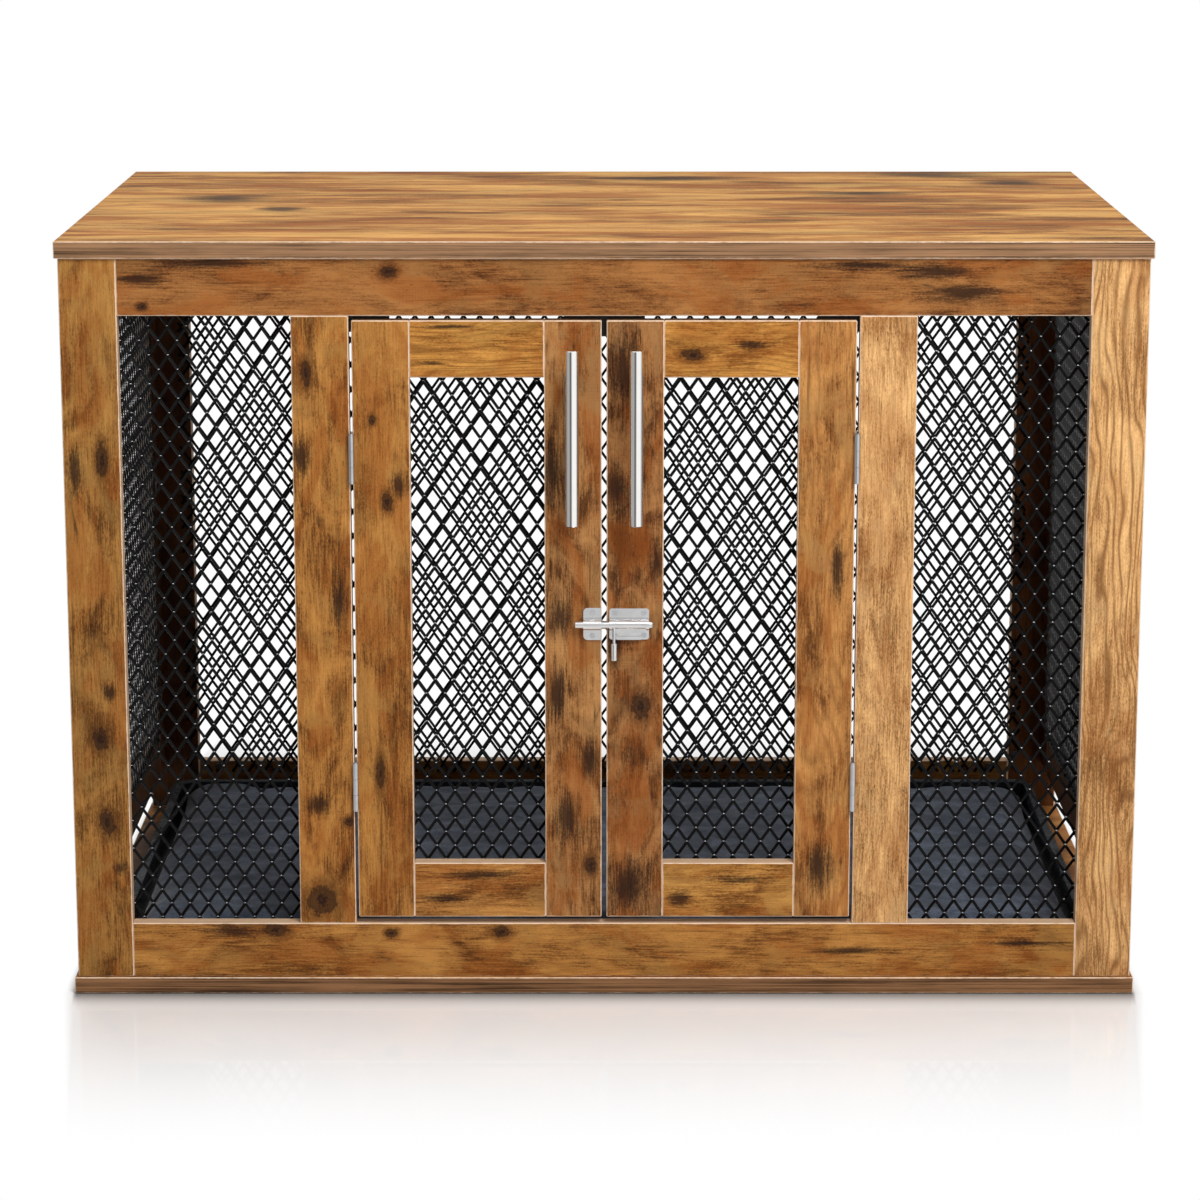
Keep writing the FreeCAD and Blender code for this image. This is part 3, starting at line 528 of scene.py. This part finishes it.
def metal_finish(name, colour, rough, brush=None, smudge=0.12):
    """Plated or brushed metal: brush is the axis that its fine lines run round, or None for a smooth
    coat without lines."""
    metal = Finish(name)
    here = metal.here()
    cloud = metal.noise(metal.stretched(here, (0.016,) * 3), 2.0, 0.5)
    fine = [0.00035] * 3
    if brush is not None:
        fine = [0.006] * 3
        fine[AXES[brush]] = 0.00022
    lines = metal.noise(metal.stretched(here, fine), 2.0, 0.6)
    return metal.surface(
        Base_Color=metal.mix(colour, shade(colour, 0.62), metal.step(cloud, 0.42, 0.74) * smudge * 2.0),
        Metallic=1.0,
        Roughness=(cloud - 0.5) * smudge + (lines - 0.5) * 0.08 + rough,
        Normal=metal.bump(lines, 0.10, 0.0001) if brush else metal.bump(cloud, 0.12, 0.0006))


def coated_finish(name, colour, rough, grain_size, bump, shine=0.5, highlight_height=None):
    """Enamel or moulded plastic with a fine skin. Above the given highlight height a pale band is laid on as
    a painted highlight, standing for light caught along the tray's top edge.
    """
    coat = Finish(name)
    here = coat.here()
    skin = coat.noise(coat.stretched(here, (grain_size,) * 3), 2.0, 0.55)
    cloud = coat.noise(coat.stretched(here, (0.05,) * 3), 3.0, 0.6)
    skin_colour = coat.mix(colour, shade(colour, 2.1), coat.step(cloud, 0.40, 0.80) * 0.5)
    # painted highlight: a pale band along the top edge, cloudy in strength, stands for light caught there
    if highlight_height:
        lit_band = coat.step(coat.split(here)[2], highlight_height - 0.4 * MM, highlight_height + 0.4 * MM)
        wear_and_highlight = lit_band * (coat.step(cloud, 0.3, 0.7) * 0.5 + 0.4)
        skin_colour = coat.mix(skin_colour, tint(112, 120, 126), wear_and_highlight)
    return coat.surface(
        Base_Color=skin_colour,
        Roughness=(skin - 0.5) * 0.2 + (cloud - 0.5) * 0.14 + rough,
        Normal=coat.bump(skin, bump, 0.0003),
        Specular_IOR_Level=shine)


def dress_handles():
    look = bpy.context.scene.crate_metal
    steel = metal_finish("satin_steel", look.steel, 0.11, "Z", 0.04)
    for hand in ("left", "right"):
        wear(f"{hand}_door_handle", steel)


def dress_latch():
    look = bpy.context.scene.crate_metal
    chrome = metal_finish("bright_chrome", look.chrome, 0.13)
    for node in ("bolt_keeper", "bolt_housing", "bolt", "bolt_knob"):
        wear(node, chrome)


def dress_hinges():
    look = bpy.context.scene.crate_metal
    zinc = metal_finish("zinc_hinge", look.zinc, 0.34)
    for node in ("hinge_frame_leaves", "hinge_pins", "left_door_hinge_leaves", "right_door_hinge_leaves"):
        wear(node, zinc)


def dress_fittings():
    """Screws, cam fittings, dowels and the black door stops."""
    look = bpy.context.scene.crate_metal
    fastener = metal_finish("zinc_fastener", look.zinc, 0.36)
    black = coated_finish("black_plate", look.plate, 0.45, 0.0009, 0.2)
    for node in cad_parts:
        if node.endswith("net_screws") or node in ("frame_small_screws", "door_stops"):
            wear(node, black)
        elif node.endswith("screws") or node == "cam_fittings":
            wear(node, fastener)
    peg = Finish("dowel_wood")
    here = peg.here()
    grain = peg.noise(peg.stretched(here, (0.004, 0.004, 0.02)), 3.0, 0.6)
    peg_skin = peg.surface(Base_Color=peg.ramp(grain, (0.3, tint(176, 140, 96)), (0.7, tint(214, 182, 136))),
                           Roughness=0.7, Normal=peg.bump(grain, 0.3, 0.0004))
    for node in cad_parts:
        if node.endswith("dowels"):
            wear(node, peg_skin)


# ---------------------------------------------------------------- nets

SECTION = ((-1, -1), (1, -1), (1, 1), (-1, 1))
# rings of a bond from foot to head: height and depth as shares of the bond's half height and of half the
# strand depth, and the share of its width that is left at the front
BOND_RINGS = ((-1, 0.4, 1), (0.2, 1.9, 0.5), (0.45, 1.6, 0.5), (1, 0.3, 1))
# ring where a bond's pale facet, its painted glint, starts
BOND_CREST = 1
SHORTEST_STRAND = 0.05         # share of a strand's length that is still worth keeping


def strand_rings(start, end, half_width, half_depth, turn, normal):
    """Corner points of a flat strand's two ends, the strand being turned about its own line."""
    line = end - start
    line /= np.linalg.norm(line)
    wide = np.cross(normal, line)
    flat = math.cos(turn) * wide + math.sin(turn) * normal
    thick = -math.sin(turn) * wide + math.cos(turn) * normal
    return [[centre + flat * half_width * i + thick * half_depth * j for i, j in SECTION]
            for centre in (start, end)]


def net_mesh(name, across, up, origin, right, normal, phase):
    """Expanded metal over a rectangle of the given width and height: origin is its lower corner, right the
    way its width runs, normal the way its front faces. Strands are cut off at the rectangle's sides."""
    look = bpy.context.scene.crate_net
    right, normal, above = np.array(right, float), np.array(normal, float), np.array((0.0, 0.0, 1.0))
    origin = np.array(origin, float)
    w, h = look.pitch_across, look.pitch_up
    half_w, half_d = look.strand_width / 2, look.strand_depth / 2
    knot_up, knot_side = 1.7 * MM, 0.55 * MM
    bond_half_w, bond_half_h = half_w * 1.05, knot_up * 1.25
    points, faces, glint_faces = [], [], []

    def add(rings, glint_ring=None):
        """A closed bar through rings of four points. The glint ring, if given, is the ring where its pale
        facet starts: a painted glint standing for light caught on a bond's crest.
        """
        first, first_face = len(points), len(faces)
        for ring in rings:
            points.extend(ring)
        for r in range(len(rings) - 1):
            for c in range(4):
                a, b = first + 4 * r + c, first + 4 * r + (c + 1) % 4
                faces.append((a, b, b + 4, a + 4))
        last = first + 4 * (len(rings) - 1)
        faces.append((first + 3, first + 2, first + 1, first))
        faces.append((last, last + 1, last + 2, last + 3))
        glint_faces.extend([False] * (len(faces) - len(glint_faces)))
        if glint_ring is not None:
            glint_faces[first_face + 4 * glint_ring + 2] = True

    def trim(a, b):
        """The part of the line from a to b, in the rectangle's own axes, that lies inside it."""
        lo, hi = 0.0, 1.0
        for i, size in ((0, across), (1, up)):
            d = b[i] - a[i]
            for limit, sign in ((0.0, 1.0), (size, -1.0)):
                gap, rise = sign * (a[i] - limit), sign * d
                if rise > 0:
                    lo = max(lo, -gap / rise)
                elif rise < 0:
                    hi = min(hi, gap / -rise)
                elif gap < 0:
                    hi = -1.0
        return (lo, hi) if hi - lo > SHORTEST_STRAND else None

    def place(flat_point, lift=0.0):
        return origin + right * flat_point[0] + above * flat_point[1] + normal * lift

    def bond(x, z):
        """Rings of the bond where strands meet, narrower along its crest."""
        rings = []
        for height, deep, crest in BOND_RINGS:
            ring = []
            for a, b in SECTION:
                reach = bond_half_w * a * (crest if b > 0 else 1)
                ring.append(place((x + reach, z + bond_half_h * height), half_d * b * deep))
            rings.append(ring)
        return rings

    rows, columns = int(up / h * 2) + 3, int(across / w) + 3
    for j in range(-1, rows):
        for i in range(-1, columns):
            x = (i + 0.5 * (j % 2)) * w + phase[0] % w - w / 2
            z = j * h / 2 + phase[1] % h - h / 2
            if half_w < x < across - half_w and knot_up < z < up - knot_up:
                add(bond(x, z), glint_ring=BOND_CREST)
            for way in (-1, 1):
                a = (x + way * knot_side, z + knot_up * 0.75)
                b = (x + way * (w / 2 - knot_side), z + h / 2 - knot_up * 0.75)
                kept = trim(a, b)
                if kept is None:
                    continue
                start = [a[k] + (b[k] - a[k]) * kept[0] for k in (0, 1)]
                end = [a[k] + (b[k] - a[k]) * kept[1] for k in (0, 1)]
                add(strand_rings(place(start), place(end), half_w, half_d, look.tilt, normal))
    mesh = bpy.data.meshes.new(name)
    mesh.from_pydata([tuple(p) for p in points], [], faces)
    mesh.update()
    mesh.polygons.foreach_set("material_index", glint_faces)
    # strands lean both ways, so their faces are all turned outwards here
    shape = bmesh.new()
    shape.from_mesh(mesh)
    bmesh.ops.recalc_face_normals(shape, faces=shape.faces)
    shape.to_mesh(mesh)
    shape.free()
    return mesh


NETS = {  # CAD node: body, the way the net's width runs, the way its front faces, node of the lattice
    "front_left_net": (CABINET, (1, 0, 0), (0, -1, 0), (12.8, 0.5)),
    "front_right_net": (CABINET, (1, 0, 0), (0, -1, 0), (5.0, 4.0)),
    "back_net": (CABINET, (1, 0, 0), (0, 1, 0), (3.0, 9.0)),
    "left_side_net": (CABINET, (0, 1, 0), (-1, 0, 0), (2.0, 6.0)),
    "right_side_net": (CABINET, (0, 1, 0), (1, 0, 0), (2.0, 6.0)),
    "left_door_net": (LEFT_DOOR, (1, 0, 0), (0, -1, 0), (7.0, 11.0)),
    "right_door_net": (RIGHT_DOOR, (1, 0, 0), (0, -1, 0), (1.0, 2.0)),
}


def build_nets():
    look = bpy.context.scene.crate_net
    front_enamel = coated_finish("net_enamel", look.enamel, 0.30, 0.0012, 0.25, 0.10)
    side_enamel = coated_finish("net_side_enamel", look.enamel, 0.42, 0.0012, 0.25, 0.8)
    # painted glint: the pale colour on the bonds' crest facets stands for light caught there
    bond_glint = coated_finish("net_bond_glint", tint(176, 180, 186), 0.30, 0.0012, 0.02)
    for node, (body, right, normal, phase) in NETS.items():
        low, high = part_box(node)
        middle = (low + high) / 2
        run = 0 if right[0] else 1
        out = 1 - run
        origin = Vector(low)
        origin[out] = middle[out]
        mesh = net_mesh(node.replace("_net", "_mesh"), high[run] - low[run], high[2] - low[2], origin,
                        right, normal, [p * MM for p in phase])
        net = bpy.data.objects.new(mesh.name, mesh)
        bpy.context.scene.collection.objects.link(net)
        mesh.materials.append(front_enamel if right[0] else side_enamel)
        mesh.materials.append(bond_glint)
        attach(net, body)
        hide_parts(node)


# ---------------------------------------------------------------- tray and cushion

def dress_tray():
    look = bpy.context.scene.crate_metal
    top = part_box("tray")[1][2]
    # the tray's top edge carries a painted highlight
    wear("tray", coated_finish("tray_plastic", look.plastic, 0.27, 0.0011, 0.18, highlight_height=top - 1.2 * MM))


# share of the cover's height, and how far its side is drawn in there, in millimetres
COVER_SECTIONS = ((0.0, 9.0), (0.22, 2.5), (0.5, 0.0), (0.78, 2.5), (1.0, 9.0))
COVER_CORNER = 24.0 * MM
CORNER_STEPS = 8
SEAM_SHARE = 0.45              # height of the sewn edge, as a share of the cushion's
CREASE_WIDTH, CREASE_DEPTH = 0.16, 11.0 * MM
ROLL_START, ROLL_HEIGHT = 0.93, 2.6 * MM
GROOVE_WIDTH, GROOVE_DEPTH = 2.2 * MM, 1.8 * MM
GROOVE_START = (0.90, 0.84)    # where the groove fades out, as shares of the half width and half depth


def cushion_cover(low, high, inset):
    """An unfilled cover: a flat slab with round corners in plan and drawn-in sides."""
    half = [(high[i] - low[i]) / 2 - inset for i in (0, 1)]
    centre = (low + high) / 2
    bottom, top = low[2] + 1.0 * MM, high[2] - 9.0 * MM
    rings = []
    for share, pull in COVER_SECTIONS:
        z, r = bottom + (top - bottom) * share, pull * MM
        ring = []
        for quarter in range(4):
            cx = (half[0] - COVER_CORNER) * (1, -1, -1, 1)[quarter]
            cy = (half[1] - COVER_CORNER) * (1, 1, -1, -1)[quarter]
            for k in range(CORNER_STEPS + 1):
                angle = math.pi / 2 * (quarter + k / CORNER_STEPS)
                ring.append((centre[0] + cx + (COVER_CORNER - r) * math.cos(angle),
                             centre[1] + cy + (COVER_CORNER - r) * math.sin(angle), z))
        rings.append(ring)
    count = len(rings[0])
    points = [p for ring in rings for p in ring]
    last = len(points) - count
    faces = [tuple(range(count))[::-1], tuple(range(last, last + count))]
    for r in range(len(rings) - 1):
        for c in range(count):
            a, b = r * count + c, r * count + (c + 1) % count
            faces.append((a, b, b + count, a + count))
    mesh = bpy.data.meshes.new("cushion_cover")
    mesh.from_pydata(points, [], faces)
    return mesh


def fixed_mesh(piece):
    """Applies the piece's modifiers."""
    graph = bpy.context.evaluated_depsgraph_get()
    mesh = bpy.data.meshes.new_from_object(piece.evaluated_get(graph))
    piece.modifiers.clear()
    piece.data = mesh
    return mesh


def coordinates(mesh):
    values = np.zeros(len(mesh.vertices) * 3, np.float32)
    mesh.vertices.foreach_get("co", values)
    return values.reshape(-1, 3).astype(float)


def build_cushion():
    look = bpy.context.scene.crate_cushion
    low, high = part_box("cushion")
    cover = cushion_cover(low, high, look.inset)
    piece = bpy.data.objects.new("plush_cushion", cover)
    bpy.context.scene.collection.objects.link(piece)
    remesh = piece.modifiers.new("Cells", "REMESH")
    remesh.mode, remesh.voxel_size = "VOXEL", look.voxel
    fixed_mesh(piece)
    rest = coordinates(piece.data)
    cloth = piece.modifiers.new("Filling", "CLOTH")
    cloth.settings.use_pressure = True
    cloth.settings.uniform_pressure_force = look.pressure
    cloth.settings.effector_weights.gravity = 0.0
    cloth.settings.mass = 0.3
    for step in range(1, look.steps + 1):
        bpy.context.scene.frame_set(step)
    fixed_mesh(piece)
    bpy.context.scene.frame_set(1)
    moved = coordinates(piece.data)
    push = moved - rest
    far = np.linalg.norm(push, axis=1, keepdims=True)
    moved = rest + push * np.minimum(1.0, look.swell / np.maximum(far, 1e-9))
    settle_cushion(moved, low, high)
    piece.data.vertices.foreach_set("co", moved.astype(np.float32).ravel())
    piece.data.update()
    smooth = piece.modifiers.new("Finer", "SUBSURF")
    smooth.levels = smooth.render_levels = 1
    fixed_mesh(piece)
    for face in piece.data.polygons:
        face.use_smooth = True
    piece.data.materials.clear()
    piece.data.materials.append(plush_finish(low, high))
    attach(piece, TRAY_BODY)
    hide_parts("cushion")


def settle_cushion(points, low, high):
    """Gives the filled cover its slack folds and sewn edge, and sits it flat on the tray."""
    centre = (low + high) / 2
    seam = low[2] + SEAM_SHARE * (high[2] - low[2])
    for i in (0, 1):
        reach = np.abs(points[:, i] - centre[i]).max()
        points[:, i] = centre[i] + (points[:, i] - centre[i]) * ((high[i] - centre[i] - 0.5 * MM) / reach)
    for p in points:
        u = (p[0] - centre[0]) / (high[0] - centre[0])
        v = (p[1] - centre[1]) / (high[1] - centre[1])
        top = min(1.0, max(0.0, (p[2] - seam) / (high[2] - seam)))
        soft = noise.noise(Vector((p[0] * 7.0, p[1] * 9.0, 0.4)))
        small = noise.noise(Vector((p[0] * 34.0 + 5.0, p[1] * 30.0, 1.9)))
        crease = abs(noise.noise(Vector((p[0] * 15.0 + 3.0, p[1] * 19.0 - p[0] * 8.0, 2.7))))
        p[2] += top * (soft * 3.2 * MM + small * 2.0 * MM - max(0.0, CREASE_WIDTH - crease) * CREASE_DEPTH)
        edge = max(abs(u), abs(v))
        if edge > ROLL_START:
            p[2] += top * ROLL_HEIGHT * (edge - ROLL_START) / (1 - ROLL_START)
        p[2] = max(p[2], low[2] + 0.2 * MM)
        groove = math.exp(-((p[2] - seam) / GROOVE_WIDTH) ** 2) * GROOVE_DEPTH
        for i, share in ((0, u), (1, v)):
            near_side = max(0.0, abs(share) - GROOVE_START[i]) / (1 - GROOVE_START[i])
            p[i] -= math.copysign(groove, share) * near_side


def plush_finish(low, high):
    """Short pile that is lighter where it has been stroked: a painted sheen standing for light caught where
    the pile leans, with painted light and shade of folds and painted shade where its tufts are low.
    """
    look = bpy.context.scene.crate_cushion
    pile = Finish("charcoal_plush")
    here = pile.here()
    strokes = pile.noise(pile.stretched(here, (0.07, 0.05, 0.05)), 4.0, 0.62, 1.4)
    tufts = pile.noise(pile.stretched(here, (0.0016,) * 3), 3.0, 0.7)
    hairs = pile.noise(pile.stretched(here, (0.0005, 0.0011, 0.0011)), 2.0, 0.6)
    folds = pile.noise(pile.stretched(here, (0.030, 0.020, 0.030)), 4.0, 0.62, 0.8)
    # painted sheen: stroked patches turn towards the brushed colour
    painted_sheen = pile.step(strokes + (tufts - 0.5) * 0.35, 0.42, 0.72)
    colour = pile.mix(look.plush, look.brushed, painted_sheen * 0.75)
    # painted light and shade of folds: one side of the fold pattern is lightened, the other darkened
    colour = pile.mix(colour, look.brushed, pile.step(folds, 0.50, 0.72) * 0.45)
    colour = pile.mix(colour, shade(look.plush, 0.42), pile.step(folds, 0.50, 0.32) * 0.6)
    # painted shade: the pile is darkened where its tufts are low
    colour = pile.mix(colour, shade(look.plush, 0.35), pile.step(tufts, 0.50, 0.28) * 0.8)
    return pile.surface(
        Base_Color=colour,
        Roughness=(tufts - 0.5) * 0.15 + 0.86,
        Normal=pile.bump(tufts * 0.7 + hairs * 0.5, 0.55, 0.0012),
        Sheen_Weight=0.25, Sheen_Roughness=0.4, Specular_IOR_Level=0.2)


# ---------------------------------------------------------------- stage

WHITE, BLACK = (1.0,) * 3, (0.0,) * 3
FLOOR_RADIUS, FLOOR_SIDES = 1.6, 96
FLOOR_DROP = 0.0004            # keeps the floor clear of the base panel's underside
MIRROR_DEPTH = 0.30            # from the middle to the crate's front and back, where the glossy patch starts
MIRROR_NARROWING = 0.145       # how much the patch draws in at each side, per metre away from the crate
BAR_SPREAD = 0.3333            # part of the ramp that one unit of slope across an upright bar takes up
LAMP_AIM, LAMP_SIZE = (0.0, 0.0, 0.35), 1.5
SOFT_BOXES = ((0.0, 0.18), (0.20, 0.36), (0.36, 0.44), (0.43, 0.10), (0.465, 0.14), (0.52, 1.0), (0.71, 1.0),
              (0.83, 0.50), (1.0, 0.30))


def build_stage():
    look = bpy.context.scene.crate_stage
    scene = bpy.context.scene
    scene.view_settings.view_transform = "Standard"

    floor_mesh = bpy.data.meshes.new("studio_floor")
    corners = [2 * math.pi * i / FLOOR_SIDES for i in range(FLOOR_SIDES)]
    floor_mesh.from_pydata([(FLOOR_RADIUS * math.cos(a), FLOOR_RADIUS * math.sin(a), 0) for a in corners],
                           [], [tuple(range(FLOOR_SIDES))])
    floor = bpy.data.objects.new("studio_floor", floor_mesh)
    scene.collection.objects.link(floor)
    floor.location.z = -FLOOR_DROP
    skin = Finish("studio_floor")
    eye = skin.node("ShaderNodeLightPath", output="Is Camera Ray")
    ground = skin.split(skin.here())
    # the glossy patch of floor in front narrows a little towards the front, as the table's image in it does
    ahead = abs(ground[1]) - MIRROR_DEPTH
    beside = abs(ground[0]) - cad_high[0] + larger(ahead * MIRROR_NARROWING, 0.0)
    before = larger(beside * 10.0, ahead)
    # painted shadow: the floor's colour darkens close to the table's footprint, standing for the shadow where
    # the base meets the floor; the faint glow that camera rays see fades there too
    painted_base_shadow = skin.step(before, -0.006, 0.040) ** 0.7
    near = skin.node("ShaderNodeBsdfPrincipled", values={
        "Base Color": skin.mix(shade(look.floor, 0.18), look.floor, painted_base_shadow), "Roughness": 0.03,
        "Specular IOR Level": 0.5, "Emission Strength": 1.0,
        "Emission Color": skin.mix(BLACK, skin.mix(BLACK, (0.05,) * 3, painted_base_shadow), eye)})
    open_floor = skin.node("ShaderNodeEmission", values={"Color": WHITE, "Strength": 1.0})
    clear_of = skin.step(larger(beside * 34.0, ahead), 0.02, 0.40)
    skin.node_out(skin.node("ShaderNodeMixShader", values={0: clear_of * eye, 1: near, 2: open_floor}))
    floor_mesh.materials.append(skin.material)

    world = bpy.data.worlds.new("studio_air")
    scene.world = world
    air = Finish("studio_air", world)
    eye = air.node("ShaderNodeLightPath", output="Is Camera Ray")
    glint = air.node("ShaderNodeLightPath", output="Is Glossy Ray")
    clear = air.node("ShaderNodeLightPath", output="Is Transmission Ray")
    sideways, backwards, up = air.split(air.here("Generated"))
    # soft boxes round the front, as an upright bar shows them from its left edge to its right edge
    across_bar = sideways / (1.0 - backwards) * BAR_SPREAD + 0.5
    boxes = air.ramp(across_bar, *[(place, (light,) * 3) for place, light in SOFT_BOXES])
    studio = air.mix(boxes, (0.42,) * 3, air.step(backwards, 0.2, 0.6))
    studio = air.mix(studio, WHITE, air.step(up, 0.35, 0.75))
    fill = air.mix((look.sky * 0.78,) * 3, (look.sky * 1.14,) * 3, air.step(sideways, -1.0, 1.0))
    fill = air.mix((0.85,) * 3, fill, air.step(up, -0.03, 0.03))
    colour = air.mix(fill, studio, larger(glint, clear))
    colour = air.mix(colour, WHITE, eye)
    air.node_out(air.node("ShaderNodeBackground", values={"Color": colour, "Strength": 1.0}),
                 "ShaderNodeOutputWorld")

    def lamp(name, place, power):
        data = bpy.data.lights.new(name, "AREA")
        data.shape, data.size, data.energy = "DISK", LAMP_SIZE, power
        made = bpy.data.objects.new(name, data)
        made.location = place
        made.rotation_euler = (Vector(LAMP_AIM) - Vector(place)).to_track_quat("-Z", "Y").to_euler()
        scene.collection.objects.link(made)
        return made

    lamp("key_lamp", (0.9, -2.3, 3.1), look.key)
    behind = lamp("back_lamp", (-0.9, 2.6, 2.6), look.key * 0.3)
    behind.visible_glossy = False

    data = bpy.data.cameras.new("front_camera")
    data.sensor_width, data.lens = 36.0, look.lens
    camera = bpy.data.objects.new("front_camera", data)
    camera.location = look.camera_place
    camera.rotation_euler = (math.pi / 2 - look.camera_tilt, 0.0, 0.0)
    scene.collection.objects.link(camera)
    scene.camera = camera


# ---------------------------------------------------------------- operators and panel

class CRATE_OT_frames(bpy.types.Operator):
    """Dresses the boards of the front, back and side frames"""
    bl_idname = "crate.frames"
    bl_label = "Frame boards"

    def execute(self, context):
        dress_frames()
        return {"FINISHED"}


class CRATE_OT_doors(bpy.types.Operator):
    """Dresses the stiles and rails of both doors"""
    bl_idname = "crate.doors"
    bl_label = "Door boards"

    def execute(self, context):
        dress_doors()
        return {"FINISHED"}


class CRATE_OT_panels(bpy.types.Operator):
    """Dresses the top panel and the base panel"""
    bl_idname = "crate.panels"
    bl_label = "Top and base"

    def execute(self, context):
        dress_panels()
        return {"FINISHED"}


class CRATE_OT_nets(bpy.types.Operator):
    """Builds the expanded metal nets"""
    bl_idname = "crate.nets"
    bl_label = "Nets"

    def execute(self, context):
        build_nets()
        return {"FINISHED"}


class CRATE_OT_handles(bpy.types.Operator):
    """Dresses the bar handles"""
    bl_idname = "crate.handles"
    bl_label = "Handles"

    def execute(self, context):
        dress_handles()
        return {"FINISHED"}


class CRATE_OT_latch(bpy.types.Operator):
    """Dresses the sliding bolt, its housing, keeper and knob"""
    bl_idname = "crate.latch"
    bl_label = "Latch"

    def execute(self, context):
        dress_latch()
        return {"FINISHED"}


class CRATE_OT_hinges(bpy.types.Operator):
    """Dresses the butt hinges"""
    bl_idname = "crate.hinges"
    bl_label = "Hinges"

    def execute(self, context):
        dress_hinges()
        return {"FINISHED"}


class CRATE_OT_fittings(bpy.types.Operator):
    """Dresses screws, cams, dowels and door stops"""
    bl_idname = "crate.fittings"
    bl_label = "Fittings"

    def execute(self, context):
        dress_fittings()
        return {"FINISHED"}


class CRATE_OT_tray(bpy.types.Operator):
    """Dresses the moulded tray"""
    bl_idname = "crate.tray"
    bl_label = "Tray"

    def execute(self, context):
        dress_tray()
        return {"FINISHED"}


class CRATE_OT_cushion(bpy.types.Operator):
    """Builds the plush cushion"""
    bl_idname = "crate.cushion"
    bl_label = "Cushion"

    def execute(self, context):
        build_cushion()
        return {"FINISHED"}


class CRATE_OT_stage(bpy.types.Operator):
    """Builds the floor, lights and camera"""
    bl_idname = "crate.stage"
    bl_label = "Stage"

    def execute(self, context):
        build_stage()
        return {"FINISHED"}


OPERATORS = (CRATE_OT_frames, CRATE_OT_doors, CRATE_OT_panels, CRATE_OT_nets, CRATE_OT_handles,
             CRATE_OT_latch, CRATE_OT_hinges, CRATE_OT_fittings, CRATE_OT_tray, CRATE_OT_cushion,
             CRATE_OT_stage)


class CRATE_PT_tools(bpy.types.Panel):
    """Lists the steps that dress the crate, with their sizes and colours."""
    bl_label = "Crate end table"
    bl_idname = "CRATE_PT_tools"
    bl_space_type = "VIEW_3D"
    bl_region_type = "UI"
    bl_category = "Crate"

    def draw(self, context):
        for made in OPERATORS:
            self.layout.operator(made.bl_idname)
        for group in SETTINGS:
            box = self.layout.box()
            settings = getattr(context.scene, group)
            for name in settings.__annotations__:
                box.prop(settings, name)


def register():
    for name, group in SETTINGS.items():
        bpy.utils.register_class(group)
        setattr(bpy.types.Scene, name, PointerProperty(type=group))
    for made in OPERATORS:
        bpy.utils.register_class(made)
    bpy.utils.register_class(CRATE_PT_tools)


def unregister():
    bpy.utils.unregister_class(CRATE_PT_tools)
    for made in reversed(OPERATORS):
        bpy.utils.unregister_class(made)
    for name, group in SETTINGS.items():
        delattr(bpy.types.Scene, name)
        bpy.utils.unregister_class(group)


def main():
    register()
    for made in OPERATORS:
        step = getattr(bpy.ops.crate, made.bl_idname.split(".")[1])
        if "FINISHED" not in step():
            raise RuntimeError(made.bl_label + " was not finished")


if __name__ == "__main__":
    main()
